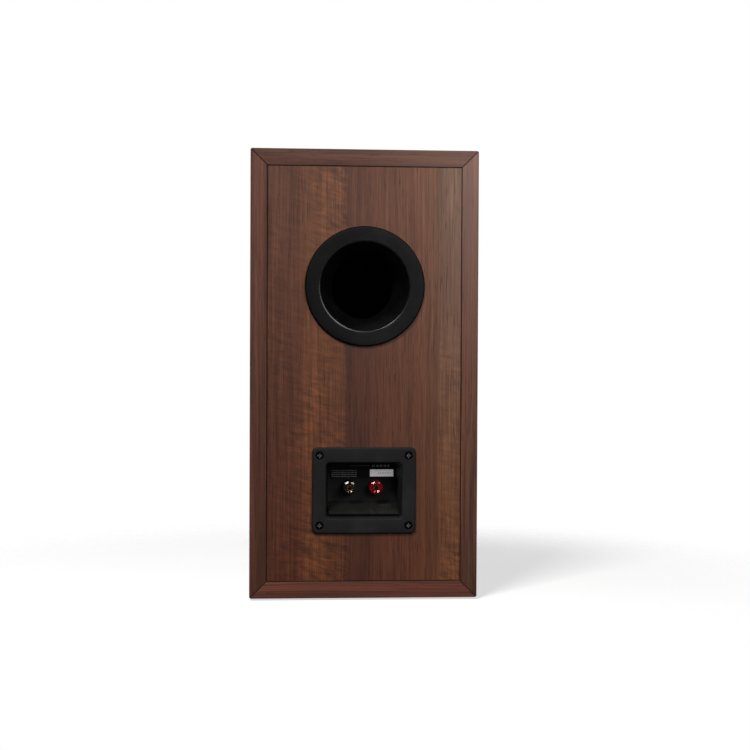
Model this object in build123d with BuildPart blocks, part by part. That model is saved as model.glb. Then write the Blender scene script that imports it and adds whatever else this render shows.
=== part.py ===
from build123d import *
import os
from math import cos, radians, sin, sqrt, tan

# Two-way bookshelf speaker with a rear port and a recessed terminal cup. Millimetres.
# X points right as seen from the front, Y to the rear, Z up. The origin is on the
# surface that the speaker stands on, under the middle of the cabinet.

# ---- Driving dimensions ---------------------------------------------------------------
CABINET_W = 216.0
CABINET_H = 424.0
CABINET_D = 270.0
WALL = 16.0  # veneered board of every panel
PROUD = 3.0  # how far the tallest fitting stands out of the front and of the rear
FOOT_H = 2.0
FOOT_R = 8.0
FOOT_X, FOOT_Y = 86.0, 110.0
EASE = 0.5  # chamfer on the boards' end edges
CORNER_TRIM = 1.2  # flat left where two mitred boards meet
PANEL_CHAMFER = 0.7  # chamfer round an inset panel, half of the shadow groove

PORT_Z = 297.0
CUP_Z = 104.0
WOOFER_Z = 132.0
TWEETER_Z = 296.0
BRACE_Z = 214.0
BRACE_T = 12.0

# ---- Derived positions ----------------------------------------------------------------
FRONT_Y = -CABINET_D / 2
REAR_Y = CABINET_D / 2
BOTTOM_Z = FOOT_H
TOP_Z = FOOT_H + CABINET_H
MID_Z = (BOTTOM_Z + TOP_Z) / 2
INNER_W = CABINET_W - 2 * WALL
INNER_H = CABINET_H - 2 * WALL
INNER_D = CABINET_D - 2 * WALL
FLOOR_Z = BOTTOM_Z + WALL  # top of the bottom board

# Sketch planes on the two faces, X to the viewer's right and Y up, normal outwards.
FRONT = Plane(origin=(0, FRONT_Y, 0), x_dir=(1, 0, 0), z_dir=(0, -1, 0))
REAR = Plane(origin=(0, REAR_Y, 0), x_dir=(-1, 0, 0), z_dir=(0, 1, 0))


# ---- Helpers --------------------------------------------------------------------------
def front_section(z):
    """Half-section of a driver: x is the radius, y the distance in front of the baffle."""
    return Plane(origin=(0, FRONT_Y, z), x_dir=(1, 0, 0), z_dir=(0, 0, -1))


def rear_section(x, z):
    """Half-section of a rear fitting: x is the radius, y the distance behind the cabinet."""
    return Plane(origin=(x, REAR_Y, z), x_dir=(1, 0, 0), z_dir=(0, 0, 1))


def axis_y(x, z):
    return Axis((x, 0, z), (0, 1, 0))


def block(x0, x1, y0, y1, mode=Mode.ADD):
    """Rectangle between two corners, in the sketch that is open."""
    with Locations(((x0 + x1) / 2, (y0 + y1) / 2)):
        Rectangle(x1 - x0, y1 - y0, mode=mode)


def outline(*points):
    """Closed polygon in the sketch that is open, at its own coordinates."""
    Polygon(*points, align=None)


def ring_points(radius, count, start=0.0):
    step = 360 / count
    return [
        (radius * cos(radians(start + i * step)), radius * sin(radians(start + i * step)))
        for i in range(count)
    ]


def write(piece, name):
    piece.part.label = name
    export_step(piece.part, f"parts/{name}.step")


os.makedirs("parts", exist_ok=True)

# ---- Cabinet: four mitred boards round two inset panels ---------------------------------
BOARDS = {
    "top_panel": (Plane(origin=(0, 0, TOP_Z), x_dir=(1, 0, 0), z_dir=(0, -1, 0)), CABINET_W),
    "bottom_panel": (
        Plane(origin=(0, 0, BOTTOM_Z), x_dir=(-1, 0, 0), z_dir=(0, -1, 0)),
        CABINET_W,
    ),
    "left_side_panel": (
        Plane(origin=(-CABINET_W / 2, 0, MID_Z), x_dir=(0, 0, 1), z_dir=(0, -1, 0)),
        CABINET_H,
    ),
    "right_side_panel": (
        Plane(origin=(CABINET_W / 2, 0, MID_Z), x_dir=(0, 0, -1), z_dir=(0, -1, 0)),
        CABINET_H,
    ),
}


def mitred_board(plane, length):
    """Board of the cabinet's depth with 45 degree mitres at both ends."""
    half, trim = length / 2, CORNER_TRIM
    with BuildPart() as board:
        with BuildSketch(plane):
            outline(
                (-half + trim, 0),
                (half - trim, 0),
                (half - trim / 2, -trim / 2),
                (half - WALL, -WALL),
                (-half + WALL, -WALL),
                (-half + trim / 2, -trim / 2),
            )
        extrude(amount=CABINET_D / 2, both=True)
        chamfer(board.faces().filter_by(Axis.Y).edges(), EASE)
    return board


for board_name, (board_plane, board_length) in BOARDS.items():
    write(mitred_board(board_plane, board_length), board_name)

# Rear panel, cut for the port, the terminal cup and the cup's screws.
PORT_FLANGE_R = 56.7
PORT_LIP_R = 41.7
PORT_R = 30.0
PORT_WALL = 2.5
PORT_RIM_R = 44.5  # locating rim behind the flange
CUP_W, CUP_H = 98.3, 81.7  # flange of the terminal cup
WELL_W, WELL_H = 71.4, 52.4  # mouth of its well
CUP_WALL = 2.0
CUP_HOLE_PLAY = 1.0
FLANGE_GAP = 0.3  # round a flange in its rebate or hole
CUP_SCREWS = [(x, CUP_Z + z) for x in (-42.1, 42.1) for z in (-33.1, 33.1)]
CUP_PILOT_R = 1.8
CUP_SCREW_DEPTH = 14.0

with BuildPart() as rear_panel:
    with BuildSketch(REAR):
        with Locations((0, MID_Z)):
            Rectangle(INNER_W, INNER_H)
    extrude(amount=-WALL)
    chamfer(rear_panel.faces().sort_by(Axis.Y)[-1].edges(), PANEL_CHAMFER)
    with BuildSketch(REAR):
        with Locations((0, PORT_Z)):
            Circle(PORT_RIM_R + FLANGE_GAP)
        with Locations((0, CUP_Z)):
            RectangleRounded(
                WELL_W + 2 * CUP_WALL + CUP_HOLE_PLAY, WELL_H + 2 * CUP_WALL + CUP_HOLE_PLAY, 5.5
            )
    extrude(amount=-WALL, mode=Mode.SUBTRACT)
    with BuildSketch(REAR):
        with Locations(*CUP_SCREWS):
            Circle(CUP_PILOT_R)
    extrude(amount=-CUP_SCREW_DEPTH, mode=Mode.SUBTRACT)
write(rear_panel, "rear_panel")

# Front baffle, rebated for both drivers, with bores for the grille sockets.
WOOFER_R = 83.5
WOOFER_HOLE_R = 71.8
WOOFER_SCREWS = ring_points(77.8, 6, 30)
TWEETER_R = 64.0
TWEETER_HOLE_R = 50.0
TWEETER_SCREWS = ring_points(56.5, 4, 45)
REBATE = 6.0
FLANGE_T = 5.0
GASKET_T = REBATE - FLANGE_T
SCREW_R = 1.9
PILOT_R = 1.95
SOCKET_R = 4.5
SOCKET_DEPTH = 10.0
SOCKET_X, SOCKET_Z = 82.0, 182.0
SOCKETS = [(x, MID_Z + z) for x in (-SOCKET_X, SOCKET_X) for z in (-SOCKET_Z, SOCKET_Z)]

with BuildPart() as front_baffle:
    with BuildSketch(FRONT):
        with Locations((0, MID_Z)):
            Rectangle(INNER_W, INNER_H)
    extrude(amount=-WALL)
    chamfer(front_baffle.faces().sort_by(Axis.Y)[0].edges(), PANEL_CHAMFER)
    with BuildSketch(FRONT):
        with Locations((0, WOOFER_Z)):
            Circle(WOOFER_HOLE_R)
        with Locations((0, TWEETER_Z)):
            Circle(TWEETER_HOLE_R)
    extrude(amount=-WALL, mode=Mode.SUBTRACT)
    with BuildSketch(FRONT):
        with Locations((0, WOOFER_Z)):
            Circle(WOOFER_R + FLANGE_GAP)
        with Locations((0, TWEETER_Z)):
            Circle(TWEETER_R + FLANGE_GAP)
    extrude(amount=-REBATE, mode=Mode.SUBTRACT)
    with BuildSketch(FRONT):
        with Locations(*SOCKETS):
            Circle(SOCKET_R)
    extrude(amount=-WALL, mode=Mode.SUBTRACT)
    with BuildSketch(FRONT.offset(-REBATE)):
        with Locations(*[(x, WOOFER_Z + y) for x, y in WOOFER_SCREWS]):
            Circle(PILOT_R)
        with Locations(*[(x, TWEETER_Z + y) for x, y in TWEETER_SCREWS]):
            Circle(PILOT_R)
    extrude(amount=-WALL + REBATE, mode=Mode.SUBTRACT)
write(front_baffle, "front_baffle")

# Horizontal window brace between the drivers.
WINDOW_W, WINDOW_D = 128.0, 176.0
WINDOW_CORNER_R = 20.0

with BuildPart() as window_brace:
    with BuildSketch(Plane.XY.offset(BRACE_Z)):
        Rectangle(INNER_W, INNER_D)
        RectangleRounded(WINDOW_W, WINDOW_D, WINDOW_CORNER_R, mode=Mode.SUBTRACT)
    extrude(amount=BRACE_T)
write(window_brace, "window_brace")

# Triangular glue blocks in the upright corners, below and above the brace.
BLOCK_LEG = 14.0
BLOCK_L = 130.0
BLOCK_FEET = (FLOOR_Z + 30, BRACE_Z + BRACE_T + 18)

with BuildPart() as corner_blocks:
    for low_z in BLOCK_FEET:
        for side_x in (-1, 1):
            for side_y in (-1, 1):
                corner_x, corner_y = side_x * INNER_W / 2, side_y * INNER_D / 2
                with BuildSketch(Plane.XY.offset(low_z)):
                    outline(
                        (corner_x, corner_y),
                        (corner_x - side_x * BLOCK_LEG, corner_y),
                        (corner_x, corner_y - side_y * BLOCK_LEG),
                    )
                extrude(amount=BLOCK_L)
write(corner_blocks, "corner_blocks")

# ---- Port: flanged tube and a flare pushed on its inner end -----------------------------
PORT_END = -130.0  # inner end of the tube, from the rear face
PORT_FLARE = 31.0  # depth at which the outer flare becomes the tube
PORT_RIM_L = 3.0
SLEEVE_L = 12.0
SLEEVE_OUT_R = 35.0
SLEEVE_IN_R = PORT_R + PORT_WALL + 0.05
INNER_FLARE_R = 46.5
INNER_FLARE_END = PORT_END - 20.0

with BuildPart() as port_tube:
    with BuildSketch(rear_section(0, PORT_Z)):
        with BuildLine():
            Line((PORT_RIM_R, 0), (PORT_FLANGE_R, 0))
            Line((PORT_FLANGE_R, 0), (PORT_FLANGE_R, PROUD - 1.8))
            RadiusArc((PORT_FLANGE_R, PROUD - 1.8), (PORT_FLANGE_R - 1.8, PROUD), -1.8)
            Line((PORT_FLANGE_R - 1.8, PROUD), (PORT_LIP_R + 1.6, PROUD - 0.5))
            RadiusArc((PORT_LIP_R + 1.6, PROUD - 0.5), (PORT_LIP_R, 1.2), -1.9)
            TangentArc((PORT_R, -PORT_FLARE), (PORT_LIP_R, 1.2), tangent=(0, 1))
            Line((PORT_R, -PORT_FLARE), (PORT_R, PORT_END))
            Line((PORT_R, PORT_END), (PORT_R + PORT_WALL, PORT_END))
            Line((PORT_R + PORT_WALL, PORT_END), (PORT_R + PORT_WALL, -PORT_FLARE - 2))
            TangentArc(
                (PORT_R + PORT_WALL, -PORT_FLARE - 2), (PORT_RIM_R, -PORT_RIM_L), tangent=(0, 1)
            )
            Line((PORT_RIM_R, -PORT_RIM_L), (PORT_RIM_R, 0))
        make_face()
    revolve(axis=axis_y(0, PORT_Z))
write(port_tube, "port_tube")

with BuildPart() as port_inner_flare:
    with BuildSketch(rear_section(0, PORT_Z)):
        with BuildLine():
            Line((SLEEVE_IN_R, PORT_END + SLEEVE_L), (SLEEVE_OUT_R, PORT_END + SLEEVE_L))
            Line((SLEEVE_OUT_R, PORT_END + SLEEVE_L), (SLEEVE_OUT_R, PORT_END))
            TangentArc(
                (SLEEVE_OUT_R, PORT_END), (INNER_FLARE_R, INNER_FLARE_END + 1.5), tangent=(0, -1)
            )
            Line((INNER_FLARE_R, INNER_FLARE_END + 1.5), (INNER_FLARE_R - 2.5, INNER_FLARE_END))
            TangentArc((PORT_R, PORT_END), (INNER_FLARE_R - 2.5, INNER_FLARE_END), tangent=(0, -1))
            Line((PORT_R, PORT_END), (SLEEVE_IN_R, PORT_END))
            Line((SLEEVE_IN_R, PORT_END), (SLEEVE_IN_R, PORT_END + SLEEVE_L))
        make_face()
    revolve(axis=axis_y(0, PORT_Z))
write(port_inner_flare, "port_inner_flare")

# ---- Terminal cup -----------------------------------------------------------------------
CUP_GASKET_T = 0.6
WELL_DEPTH = 30.0  # from the rear face to the well's floor
WELL_FLOOR_W, WELL_FLOOR_H = 66.0, 38.2
WELL_FLOOR_Z = 109.3
CUP_FLOOR_T = 2.5
POST_X = 12.7
POST_Z = 105.4
POSTS = {"black": POST_X, "red": -POST_X}
POST_HOLE_R = 4.0
CUP_SCREW_HEAD_R = 3.75
CUP_SCREW_TOP = PROUD - 0.4
SINK_R = 4.2
CUP_EDGE_R = 1.6
CUP_CORNER_R = 4.5
CROSS_L, CROSS_W, CROSS_DEPTH = 4.4, 0.95, 1.5  # recess for the driver

with BuildPart() as terminal_cup:
    with BuildSketch(REAR.offset(CUP_GASKET_T)):
        with Locations((0, CUP_Z)):
            RectangleRounded(CUP_W, CUP_H, CUP_CORNER_R)
    extrude(amount=PROUD - CUP_GASKET_T)
    fillet(terminal_cup.faces().sort_by(Axis.Y)[-1].edges(), CUP_EDGE_R)
    with BuildSketch(REAR.offset(CUP_GASKET_T)):
        with Locations((0, CUP_Z)):
            RectangleRounded(WELL_W + 2 * CUP_WALL, WELL_H + 2 * CUP_WALL, 5)
    with BuildSketch(REAR.offset(-WELL_DEPTH - CUP_FLOOR_T)):
        with Locations((0, WELL_FLOOR_Z)):
            RectangleRounded(WELL_FLOOR_W + 2 * CUP_WALL, WELL_FLOOR_H + 2 * CUP_WALL, 4)
    loft()
    with BuildSketch(REAR.offset(PROUD)):
        with Locations((0, CUP_Z)):
            RectangleRounded(WELL_W, WELL_H, 3.5)
    with BuildSketch(REAR.offset(-WELL_DEPTH)):
        with Locations((0, WELL_FLOOR_Z)):
            RectangleRounded(WELL_FLOOR_W, WELL_FLOOR_H, 2.5)
    loft(mode=Mode.SUBTRACT)
    with BuildSketch(REAR.offset(-WELL_DEPTH)):
        with Locations(*[(-x, POST_Z) for x in POSTS.values()]):
            Circle(POST_HOLE_R)
    extrude(amount=-CUP_FLOOR_T, mode=Mode.SUBTRACT)
    with Locations(*[REAR.offset(PROUD) * Pos(x, z) for x, z in CUP_SCREWS]):
        CounterSinkHole(SCREW_R, SINK_R, depth=PROUD, counter_sink_angle=90)
write(terminal_cup, "terminal_cup")

with BuildPart() as cup_gasket:
    with BuildSketch(REAR):
        with Locations((0, CUP_Z)):
            RectangleRounded(CUP_W - 2, CUP_H - 2, 4)
            RectangleRounded(
                WELL_W + 2 * CUP_WALL + 0.4, WELL_H + 2 * CUP_WALL + 0.4, 5.2, mode=Mode.SUBTRACT
            )
        with Locations(*CUP_SCREWS):
            Circle(SCREW_R, mode=Mode.SUBTRACT)
    extrude(amount=CUP_GASKET_T)
write(cup_gasket, "terminal_cup_gasket")


with BuildPart() as cup_screws:
    for screw_x, screw_z in CUP_SCREWS:
        with BuildSketch(rear_section(-screw_x, screw_z)):
            outline(
                (0, CUP_SCREW_TOP),
                (CUP_SCREW_HEAD_R, CUP_SCREW_TOP),
                (CUP_PILOT_R - 0.05, CUP_SCREW_TOP - CUP_SCREW_HEAD_R + CUP_PILOT_R - 0.05),
                (CUP_PILOT_R - 0.05, -CUP_SCREW_DEPTH + 2),
                (0, -CUP_SCREW_DEPTH),
            )
        revolve(axis=axis_y(-screw_x, screw_z))
    with BuildSketch(REAR.offset(CUP_SCREW_TOP)):
        with Locations(*[Pos(x, z) * Rot(0, 0, 40) for x, z in CUP_SCREWS]):
            Rectangle(CROSS_L, CROSS_W)
            Rectangle(CROSS_W, CROSS_L)
    extrude(amount=-CROSS_DEPTH, mode=Mode.SUBTRACT)
write(cup_screws, "terminal_cup_screws")

# Printed panel and serial sticker on the floor of the well.
FILM_T = 0.15
LABEL_W, LABEL_H = 62.0, 12.6
LABEL_Z = POST_Z + 14.4
STICKER_W, STICKER_H = 22.6, 6.8
STICKER_X, STICKER_Z = -19.2, 118.2

with BuildPart() as terminal_label:
    with BuildSketch(REAR.offset(-WELL_DEPTH)):
        with Locations((0, LABEL_Z)):
            RectangleRounded(LABEL_W, LABEL_H, 1)
    extrude(amount=FILM_T)
write(terminal_label, "terminal_label")

with BuildPart() as serial_sticker:
    with BuildSketch(REAR.offset(-WELL_DEPTH + FILM_T)):
        with Locations((-STICKER_X, STICKER_Z)):
            RectangleRounded(STICKER_W, STICKER_H, 0.5)
    extrude(amount=FILM_T)
write(serial_sticker, "serial_sticker")

# ---- Binding posts ----------------------------------------------------------------------
# Depths along a post, from the rear face of the cabinet.
BASE_TOP = -WELL_DEPTH + 2.8
COLLAR_TOP = BASE_TOP + 1.4
CAP_FOOT = COLLAR_TOP + 0.3
STUD_END = -13.5
CAP_END = STUD_END + 1.5
STUD_R = 3.0
BASE_R = 6.6
COLLAR_R = 5.2
TAIL_R = 2.0
TAIL_PLAY = 0.05
BANANA_R = 2.0
BANANA_DEPTH = 13.0
WIRE_HOLE_R = 1.3
WIRE_HOLE_Y = COLLAR_TOP + WIRE_HOLE_R + 0.5
SLEEVE_R = 4.5
SLEEVE_TOP = CAP_FOOT + 9.5
RUNNING = 0.06
CAP_R = 6.35
CAP_CHAMFER = 1.1
CAP_BORE_R = STUD_R + 0.1
FLUTES = 12
FLUTE_R = 1.05
FLUTE_RING_R = CAP_R + 0.45
FLUTE_FOOT = 2.0
TAIL_END = -50.0
WASHER_T = 2.0
WASHER_R = 5.5
LUG_T = 0.8
LUG_R, LUG_W, LUG_HOLE_R = 4.2, 4.0, 0.9
NUT_T = 3.2
NUT_R = 3.5  # across the flats
CUP_BACK = -WELL_DEPTH - CUP_FLOOR_T
LUG_FACE = CUP_BACK - WASHER_T
NUT_FACE = LUG_FACE - LUG_T
LUG_TIP_Z = POST_Z - 13.0


def post_base(x):
    """Coloured insulating ring with a spigot through the cup's floor."""
    with BuildPart() as base:
        with BuildSketch(rear_section(x, POST_Z)):
            outline(
                (TAIL_R + TAIL_PLAY, BASE_TOP),
                (BASE_R - 0.7, BASE_TOP),
                (BASE_R, BASE_TOP - 0.7),
                (BASE_R, -WELL_DEPTH),
                (POST_HOLE_R - TAIL_PLAY, -WELL_DEPTH),
                (POST_HOLE_R - TAIL_PLAY, CUP_BACK),
                (TAIL_R + TAIL_PLAY, CUP_BACK),
            )
        revolve(axis=axis_y(x, POST_Z))
    return base


def post_stud(x):
    """Threaded stud, drilled for a banana plug and across for bare wire."""
    with BuildPart() as stud:
        with BuildSketch(rear_section(x, POST_Z)):
            outline(
                (0, TAIL_END),
                (TAIL_R - 0.4, TAIL_END),
                (TAIL_R, TAIL_END + 0.4),
                (TAIL_R, BASE_TOP),
                (COLLAR_R, BASE_TOP),
                (COLLAR_R, COLLAR_TOP),
                (STUD_R, COLLAR_TOP),
                (STUD_R, STUD_END - 0.3),
                (STUD_R - 0.3, STUD_END),
                (BANANA_R, STUD_END),
                (BANANA_R, STUD_END - BANANA_DEPTH),
                (0, STUD_END - BANANA_DEPTH),
            )
        revolve(axis=axis_y(x, POST_Z))
        with BuildSketch(Plane.XY.offset(POST_Z)):
            with Locations((x, REAR_Y + WIRE_HOLE_Y)):
                Circle(WIRE_HOLE_R)
        extrude(amount=STUD_R + 1, both=True, mode=Mode.SUBTRACT)
    return stud


def post_sleeve(x):
    """Threaded metal sleeve inside the cap, which travels along the stud."""
    with BuildPart() as sleeve:
        with BuildSketch(rear_section(x, POST_Z)):
            block(STUD_R + RUNNING, SLEEVE_R, CAP_FOOT, SLEEVE_TOP)
        revolve(axis=axis_y(x, POST_Z))
    return sleeve


def post_cap(x):
    """Fluted plastic cap round the sleeve, open at the end for a banana plug."""
    with BuildPart() as cap:
        with BuildSketch(rear_section(x, POST_Z)):
            outline(
                (SLEEVE_R + RUNNING, CAP_FOOT),
                (CAP_R - 0.4, CAP_FOOT),
                (CAP_R, CAP_FOOT + 0.4),
                (CAP_R, CAP_END - CAP_CHAMFER),
                (CAP_R - CAP_CHAMFER, CAP_END),
                (STUD_R + 0.9, CAP_END),
                (CAP_BORE_R, CAP_END - 0.8),
                (CAP_BORE_R, SLEEVE_TOP + RUNNING),
                (SLEEVE_R + RUNNING, SLEEVE_TOP + RUNNING),
            )
        revolve(axis=axis_y(x, POST_Z))
        with BuildSketch(REAR.offset(CAP_FOOT + FLUTE_FOOT)):
            with Locations(*[(-x + u, POST_Z + v) for u, v in ring_points(FLUTE_RING_R, FLUTES)]):
                Circle(FLUTE_R)
        extrude(amount=CAP_END - CAP_FOOT, mode=Mode.SUBTRACT)
    return cap


for colour, post_x in POSTS.items():
    write(post_base(post_x), f"{colour}_post_base")
    write(post_stud(post_x), f"{colour}_post_stud")
    write(post_sleeve(post_x), f"{colour}_post_sleeve")
    write(post_cap(post_x), f"{colour}_post_cap")

with BuildPart() as post_washers:
    with BuildSketch(REAR.offset(CUP_BACK)):
        with Locations((-POST_X, POST_Z), (POST_X, POST_Z)):
            Circle(WASHER_R)
            Circle(TAIL_R + TAIL_PLAY, mode=Mode.SUBTRACT)
    extrude(amount=-WASHER_T)
write(post_washers, "post_washers")

with BuildPart() as solder_lugs:
    with BuildSketch(REAR.offset(LUG_FACE)):
        for lug_x in (-POST_X, POST_X):
            with Locations((lug_x, POST_Z)):
                Circle(LUG_R)
            block(lug_x - LUG_W / 2, lug_x + LUG_W / 2, LUG_TIP_Z, POST_Z)
            with Locations((lug_x, POST_Z)):
                Circle(TAIL_R + TAIL_PLAY, mode=Mode.SUBTRACT)
            with Locations((lug_x, LUG_TIP_Z + 3)):
                Circle(LUG_HOLE_R, mode=Mode.SUBTRACT)
    extrude(amount=-LUG_T)
write(solder_lugs, "solder_lugs")

with BuildPart() as post_nuts:
    with BuildSketch(REAR.offset(NUT_FACE)):
        with Locations((-POST_X, POST_Z), (POST_X, POST_Z)):
            RegularPolygon(NUT_R, 6, major_radius=False)
            Circle(TAIL_R + TAIL_PLAY, mode=Mode.SUBTRACT)
    extrude(amount=-NUT_T)
write(post_nuts, "post_nuts")

# ---- Woofer -----------------------------------------------------------------------------
# Heights are in front of the baffle's face, so everything behind it is negative.
WOOFER_SECTION = front_section(WOOFER_Z)
WOOFER_AXIS = axis_y(0, WOOFER_Z)
SEAT = -3.0  # step in the frame that carries the surround
SEAT_R = 72.2
SURROUND_T = 0.8
ROLL_OUT_R, ROLL_IN_R = 64.2, 53.0
ROLL_H = 5.0
TRIM_IN_R = 65.4
CONE_R = 53.5
CONE_RIM_R = 49.5
CONE_NECK_R = 13.3
CONE_NECK = -27.5
CONE_T = 0.9
CONE_ARC = 80.0  # radius of the cone's curved profile
FRAME_WINDOW_R = 61.0  # openings between the frame's spokes
WINDOW_LEN, WINDOW_SPAN = 24.0, 36.0
FORMER_R = 13.2
FORMER_T = 0.3
FORMER_BACK, FORMER_TOP = -50.0, -26.5
COIL_T = 0.7
COIL_BACK, COIL_TOP = -49.0, -37.0
BASKET_FLOOR = -40.0
BASKET_T = 2.5
BASKET_IN_R, BASKET_OUT_R = 14.8, 46.0
LANDING = -31.6  # ring that the spider is glued to
LANDING_IN_R, LANDING_OUT_R = 38.0, 43.0
GAP_IN_R, GAP_OUT_R = 12.4, 14.4  # magnetic gap that the voice coil moves in
MAGNET_TOP = BASKET_FLOOR - 6.0
MAGNET_BACK = MAGNET_TOP - 18.0
MAGNET_IN_R, MAGNET_OUT_R = 24.0, 45.0
TOP_PLATE_R = 40.0
YOKE_BACK = MAGNET_BACK - 6.0
YOKE_R = 43.0
VENT_R = 4.0


def arc_centre(p, q, radius):
    """Centre of the arc from p to q, on the side away from the front."""
    along = (q[0] - p[0], q[1] - p[1])
    length = sqrt(along[0] ** 2 + along[1] ** 2)
    away = sqrt(radius**2 - (length / 2) ** 2)
    normal = (along[1] / length, -along[0] / length)
    return (
        (p[0] + q[0]) / 2 + away * normal[0],
        (p[1] + q[1]) / 2 + away * normal[1],
    )


CONE_CENTRE = arc_centre((CONE_NECK_R, CONE_NECK), (CONE_RIM_R, SEAT), CONE_ARC)


def cone_height(radius):
    """Height of the cone's front face at a radius."""
    return CONE_CENTRE[1] + sqrt(CONE_ARC**2 - (radius - CONE_CENTRE[0]) ** 2)


with BuildPart() as woofer_frame:
    with BuildSketch(WOOFER_SECTION):
        outline(
            (ROLL_OUT_R - 0.2, SEAT),
            (SEAT_R, SEAT),
            (SEAT_R, -0.6),
            (SEAT_R + 0.6, 0),
            (WOOFER_R - 0.8, 0),
            (WOOFER_R, -0.8),
            (WOOFER_R, -FLANGE_T),
            (70.5, -FLANGE_T),
            (BASKET_OUT_R, BASKET_FLOOR),
            (BASKET_IN_R, BASKET_FLOOR),
            (BASKET_IN_R, BASKET_FLOOR + BASKET_T),
            (LANDING_IN_R, BASKET_FLOOR + BASKET_T),
            (LANDING_IN_R, LANDING),
            (LANDING_OUT_R, LANDING),
            (LANDING_OUT_R, BASKET_FLOOR + BASKET_T),
            (LANDING_OUT_R + 1, BASKET_FLOOR + BASKET_T),
            (67.5, -FLANGE_T),
            (ROLL_OUT_R - 0.2, -FLANGE_T),
        )
    revolve(axis=WOOFER_AXIS)
    with BuildSketch(FRONT.offset(-FLANGE_T - 4)):
        with Locations((0, WOOFER_Z)):
            with PolarLocations(FRAME_WINDOW_R, 6):
                RectangleRounded(WINDOW_LEN, WINDOW_SPAN, 4)
    extrude(amount=BASKET_FLOOR + FLANGE_T + 11, mode=Mode.SUBTRACT)
    with BuildSketch(FRONT):
        with Locations(*[(x, WOOFER_Z + y) for x, y in WOOFER_SCREWS]):
            Circle(PILOT_R)
    extrude(amount=-FLANGE_T, mode=Mode.SUBTRACT)
write(woofer_frame, "woofer_frame")

with BuildPart() as woofer_gasket:
    with BuildSketch(FRONT.offset(-FLANGE_T)):
        with Locations((0, WOOFER_Z)):
            Circle(WOOFER_R - 0.5)
            Circle(WOOFER_HOLE_R + 0.7, mode=Mode.SUBTRACT)
        with Locations(*[(x, WOOFER_Z + y) for x, y in WOOFER_SCREWS]):
            Circle(PILOT_R, mode=Mode.SUBTRACT)
    extrude(amount=-GASKET_T)
write(woofer_gasket, "woofer_gasket")

with BuildPart() as woofer_trim_ring:
    with BuildSketch(WOOFER_SECTION):
        outline(
            (TRIM_IN_R, SEAT + SURROUND_T),
            (SEAT_R - 0.1, SEAT + SURROUND_T),
            (SEAT_R - 0.1, 1.6),
            (SEAT_R - 1.5, PROUD),
            (TRIM_IN_R + 2.2, PROUD),
            (TRIM_IN_R, 0.6),
        )
    revolve(axis=WOOFER_AXIS)
write(woofer_trim_ring, "woofer_trim_ring")

with BuildPart() as woofer_surround:
    with BuildSketch(WOOFER_SECTION):
        low, high = SEAT, SEAT + SURROUND_T
        roll_mid = (ROLL_OUT_R + ROLL_IN_R) / 2
        with BuildLine():
            Line((SEAT_R - 0.3, low), (SEAT_R - 0.3, high))
            Line((SEAT_R - 0.3, high), (ROLL_OUT_R, high))
            ThreePointArc((ROLL_OUT_R, high), (roll_mid, high + ROLL_H), (ROLL_IN_R, high))
            Line((ROLL_IN_R, high), (CONE_RIM_R, high))
            Line((CONE_RIM_R, high), (CONE_RIM_R, low))
            Line((CONE_RIM_R, low), (ROLL_IN_R + SURROUND_T, low))
            ThreePointArc(
                (ROLL_IN_R + SURROUND_T, low),
                (roll_mid, low + ROLL_H),
                (ROLL_OUT_R - SURROUND_T, low),
            )
            Line((ROLL_OUT_R - SURROUND_T, low), (SEAT_R - 0.3, low))
        make_face()
    revolve(axis=WOOFER_AXIS)
write(woofer_surround, "woofer_surround")

with BuildPart() as woofer_cone:
    with BuildSketch(WOOFER_SECTION):
        rim = SEAT - 0.05
        mid_r = (CONE_RIM_R + CONE_NECK_R) / 2
        with BuildLine():
            Line((CONE_R, rim), (CONE_RIM_R, rim))
            Line((CONE_RIM_R, rim), (CONE_RIM_R, cone_height(CONE_RIM_R) - 0.1))
            ThreePointArc(
                (CONE_RIM_R, cone_height(CONE_RIM_R) - 0.1),
                (mid_r, cone_height(mid_r)),
                (CONE_NECK_R, CONE_NECK),
            )
            Line((CONE_NECK_R, CONE_NECK), (CONE_NECK_R, CONE_NECK - CONE_T - 0.4))
            ThreePointArc(
                (CONE_NECK_R, CONE_NECK - CONE_T - 0.4),
                (mid_r, cone_height(mid_r) - CONE_T),
                (CONE_RIM_R, cone_height(CONE_RIM_R) - CONE_T),
            )
            Line((CONE_RIM_R, cone_height(CONE_RIM_R) - CONE_T), (CONE_R, rim - CONE_T))
            Line((CONE_R, rim - CONE_T), (CONE_R, rim))
        make_face()
    revolve(axis=WOOFER_AXIS)
write(woofer_cone, "woofer_cone")

DUST_CAP_R = 20.0
DUST_CAP_TOP = -12.0

with BuildPart() as woofer_dust_cap:
    with BuildSketch(WOOFER_SECTION):
        foot = cone_height(DUST_CAP_R) + 0.15
        under = DUST_CAP_TOP - CONE_T
        with BuildLine():
            TangentArc((0, DUST_CAP_TOP), (DUST_CAP_R, foot), tangent=(1, 0))
            Line((DUST_CAP_R, foot), (DUST_CAP_R - 1.2, foot))
            TangentArc((0, under), (DUST_CAP_R - 1.2, foot), tangent=(1, 0))
            Line((0, under), (0, DUST_CAP_TOP))
        make_face()
    revolve(axis=WOOFER_AXIS)
write(woofer_dust_cap, "woofer_dust_cap")

with BuildPart() as voice_coil_former:
    with BuildSketch(WOOFER_SECTION):
        block(FORMER_R - FORMER_T, FORMER_R, FORMER_BACK, FORMER_TOP)
    revolve(axis=WOOFER_AXIS)
write(voice_coil_former, "voice_coil_former")

with BuildPart() as voice_coil:
    with BuildSketch(WOOFER_SECTION):
        block(FORMER_R + 0.02, FORMER_R + COIL_T, COIL_BACK, COIL_TOP)
    revolve(axis=WOOFER_AXIS)
write(voice_coil, "voice_coil")

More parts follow.
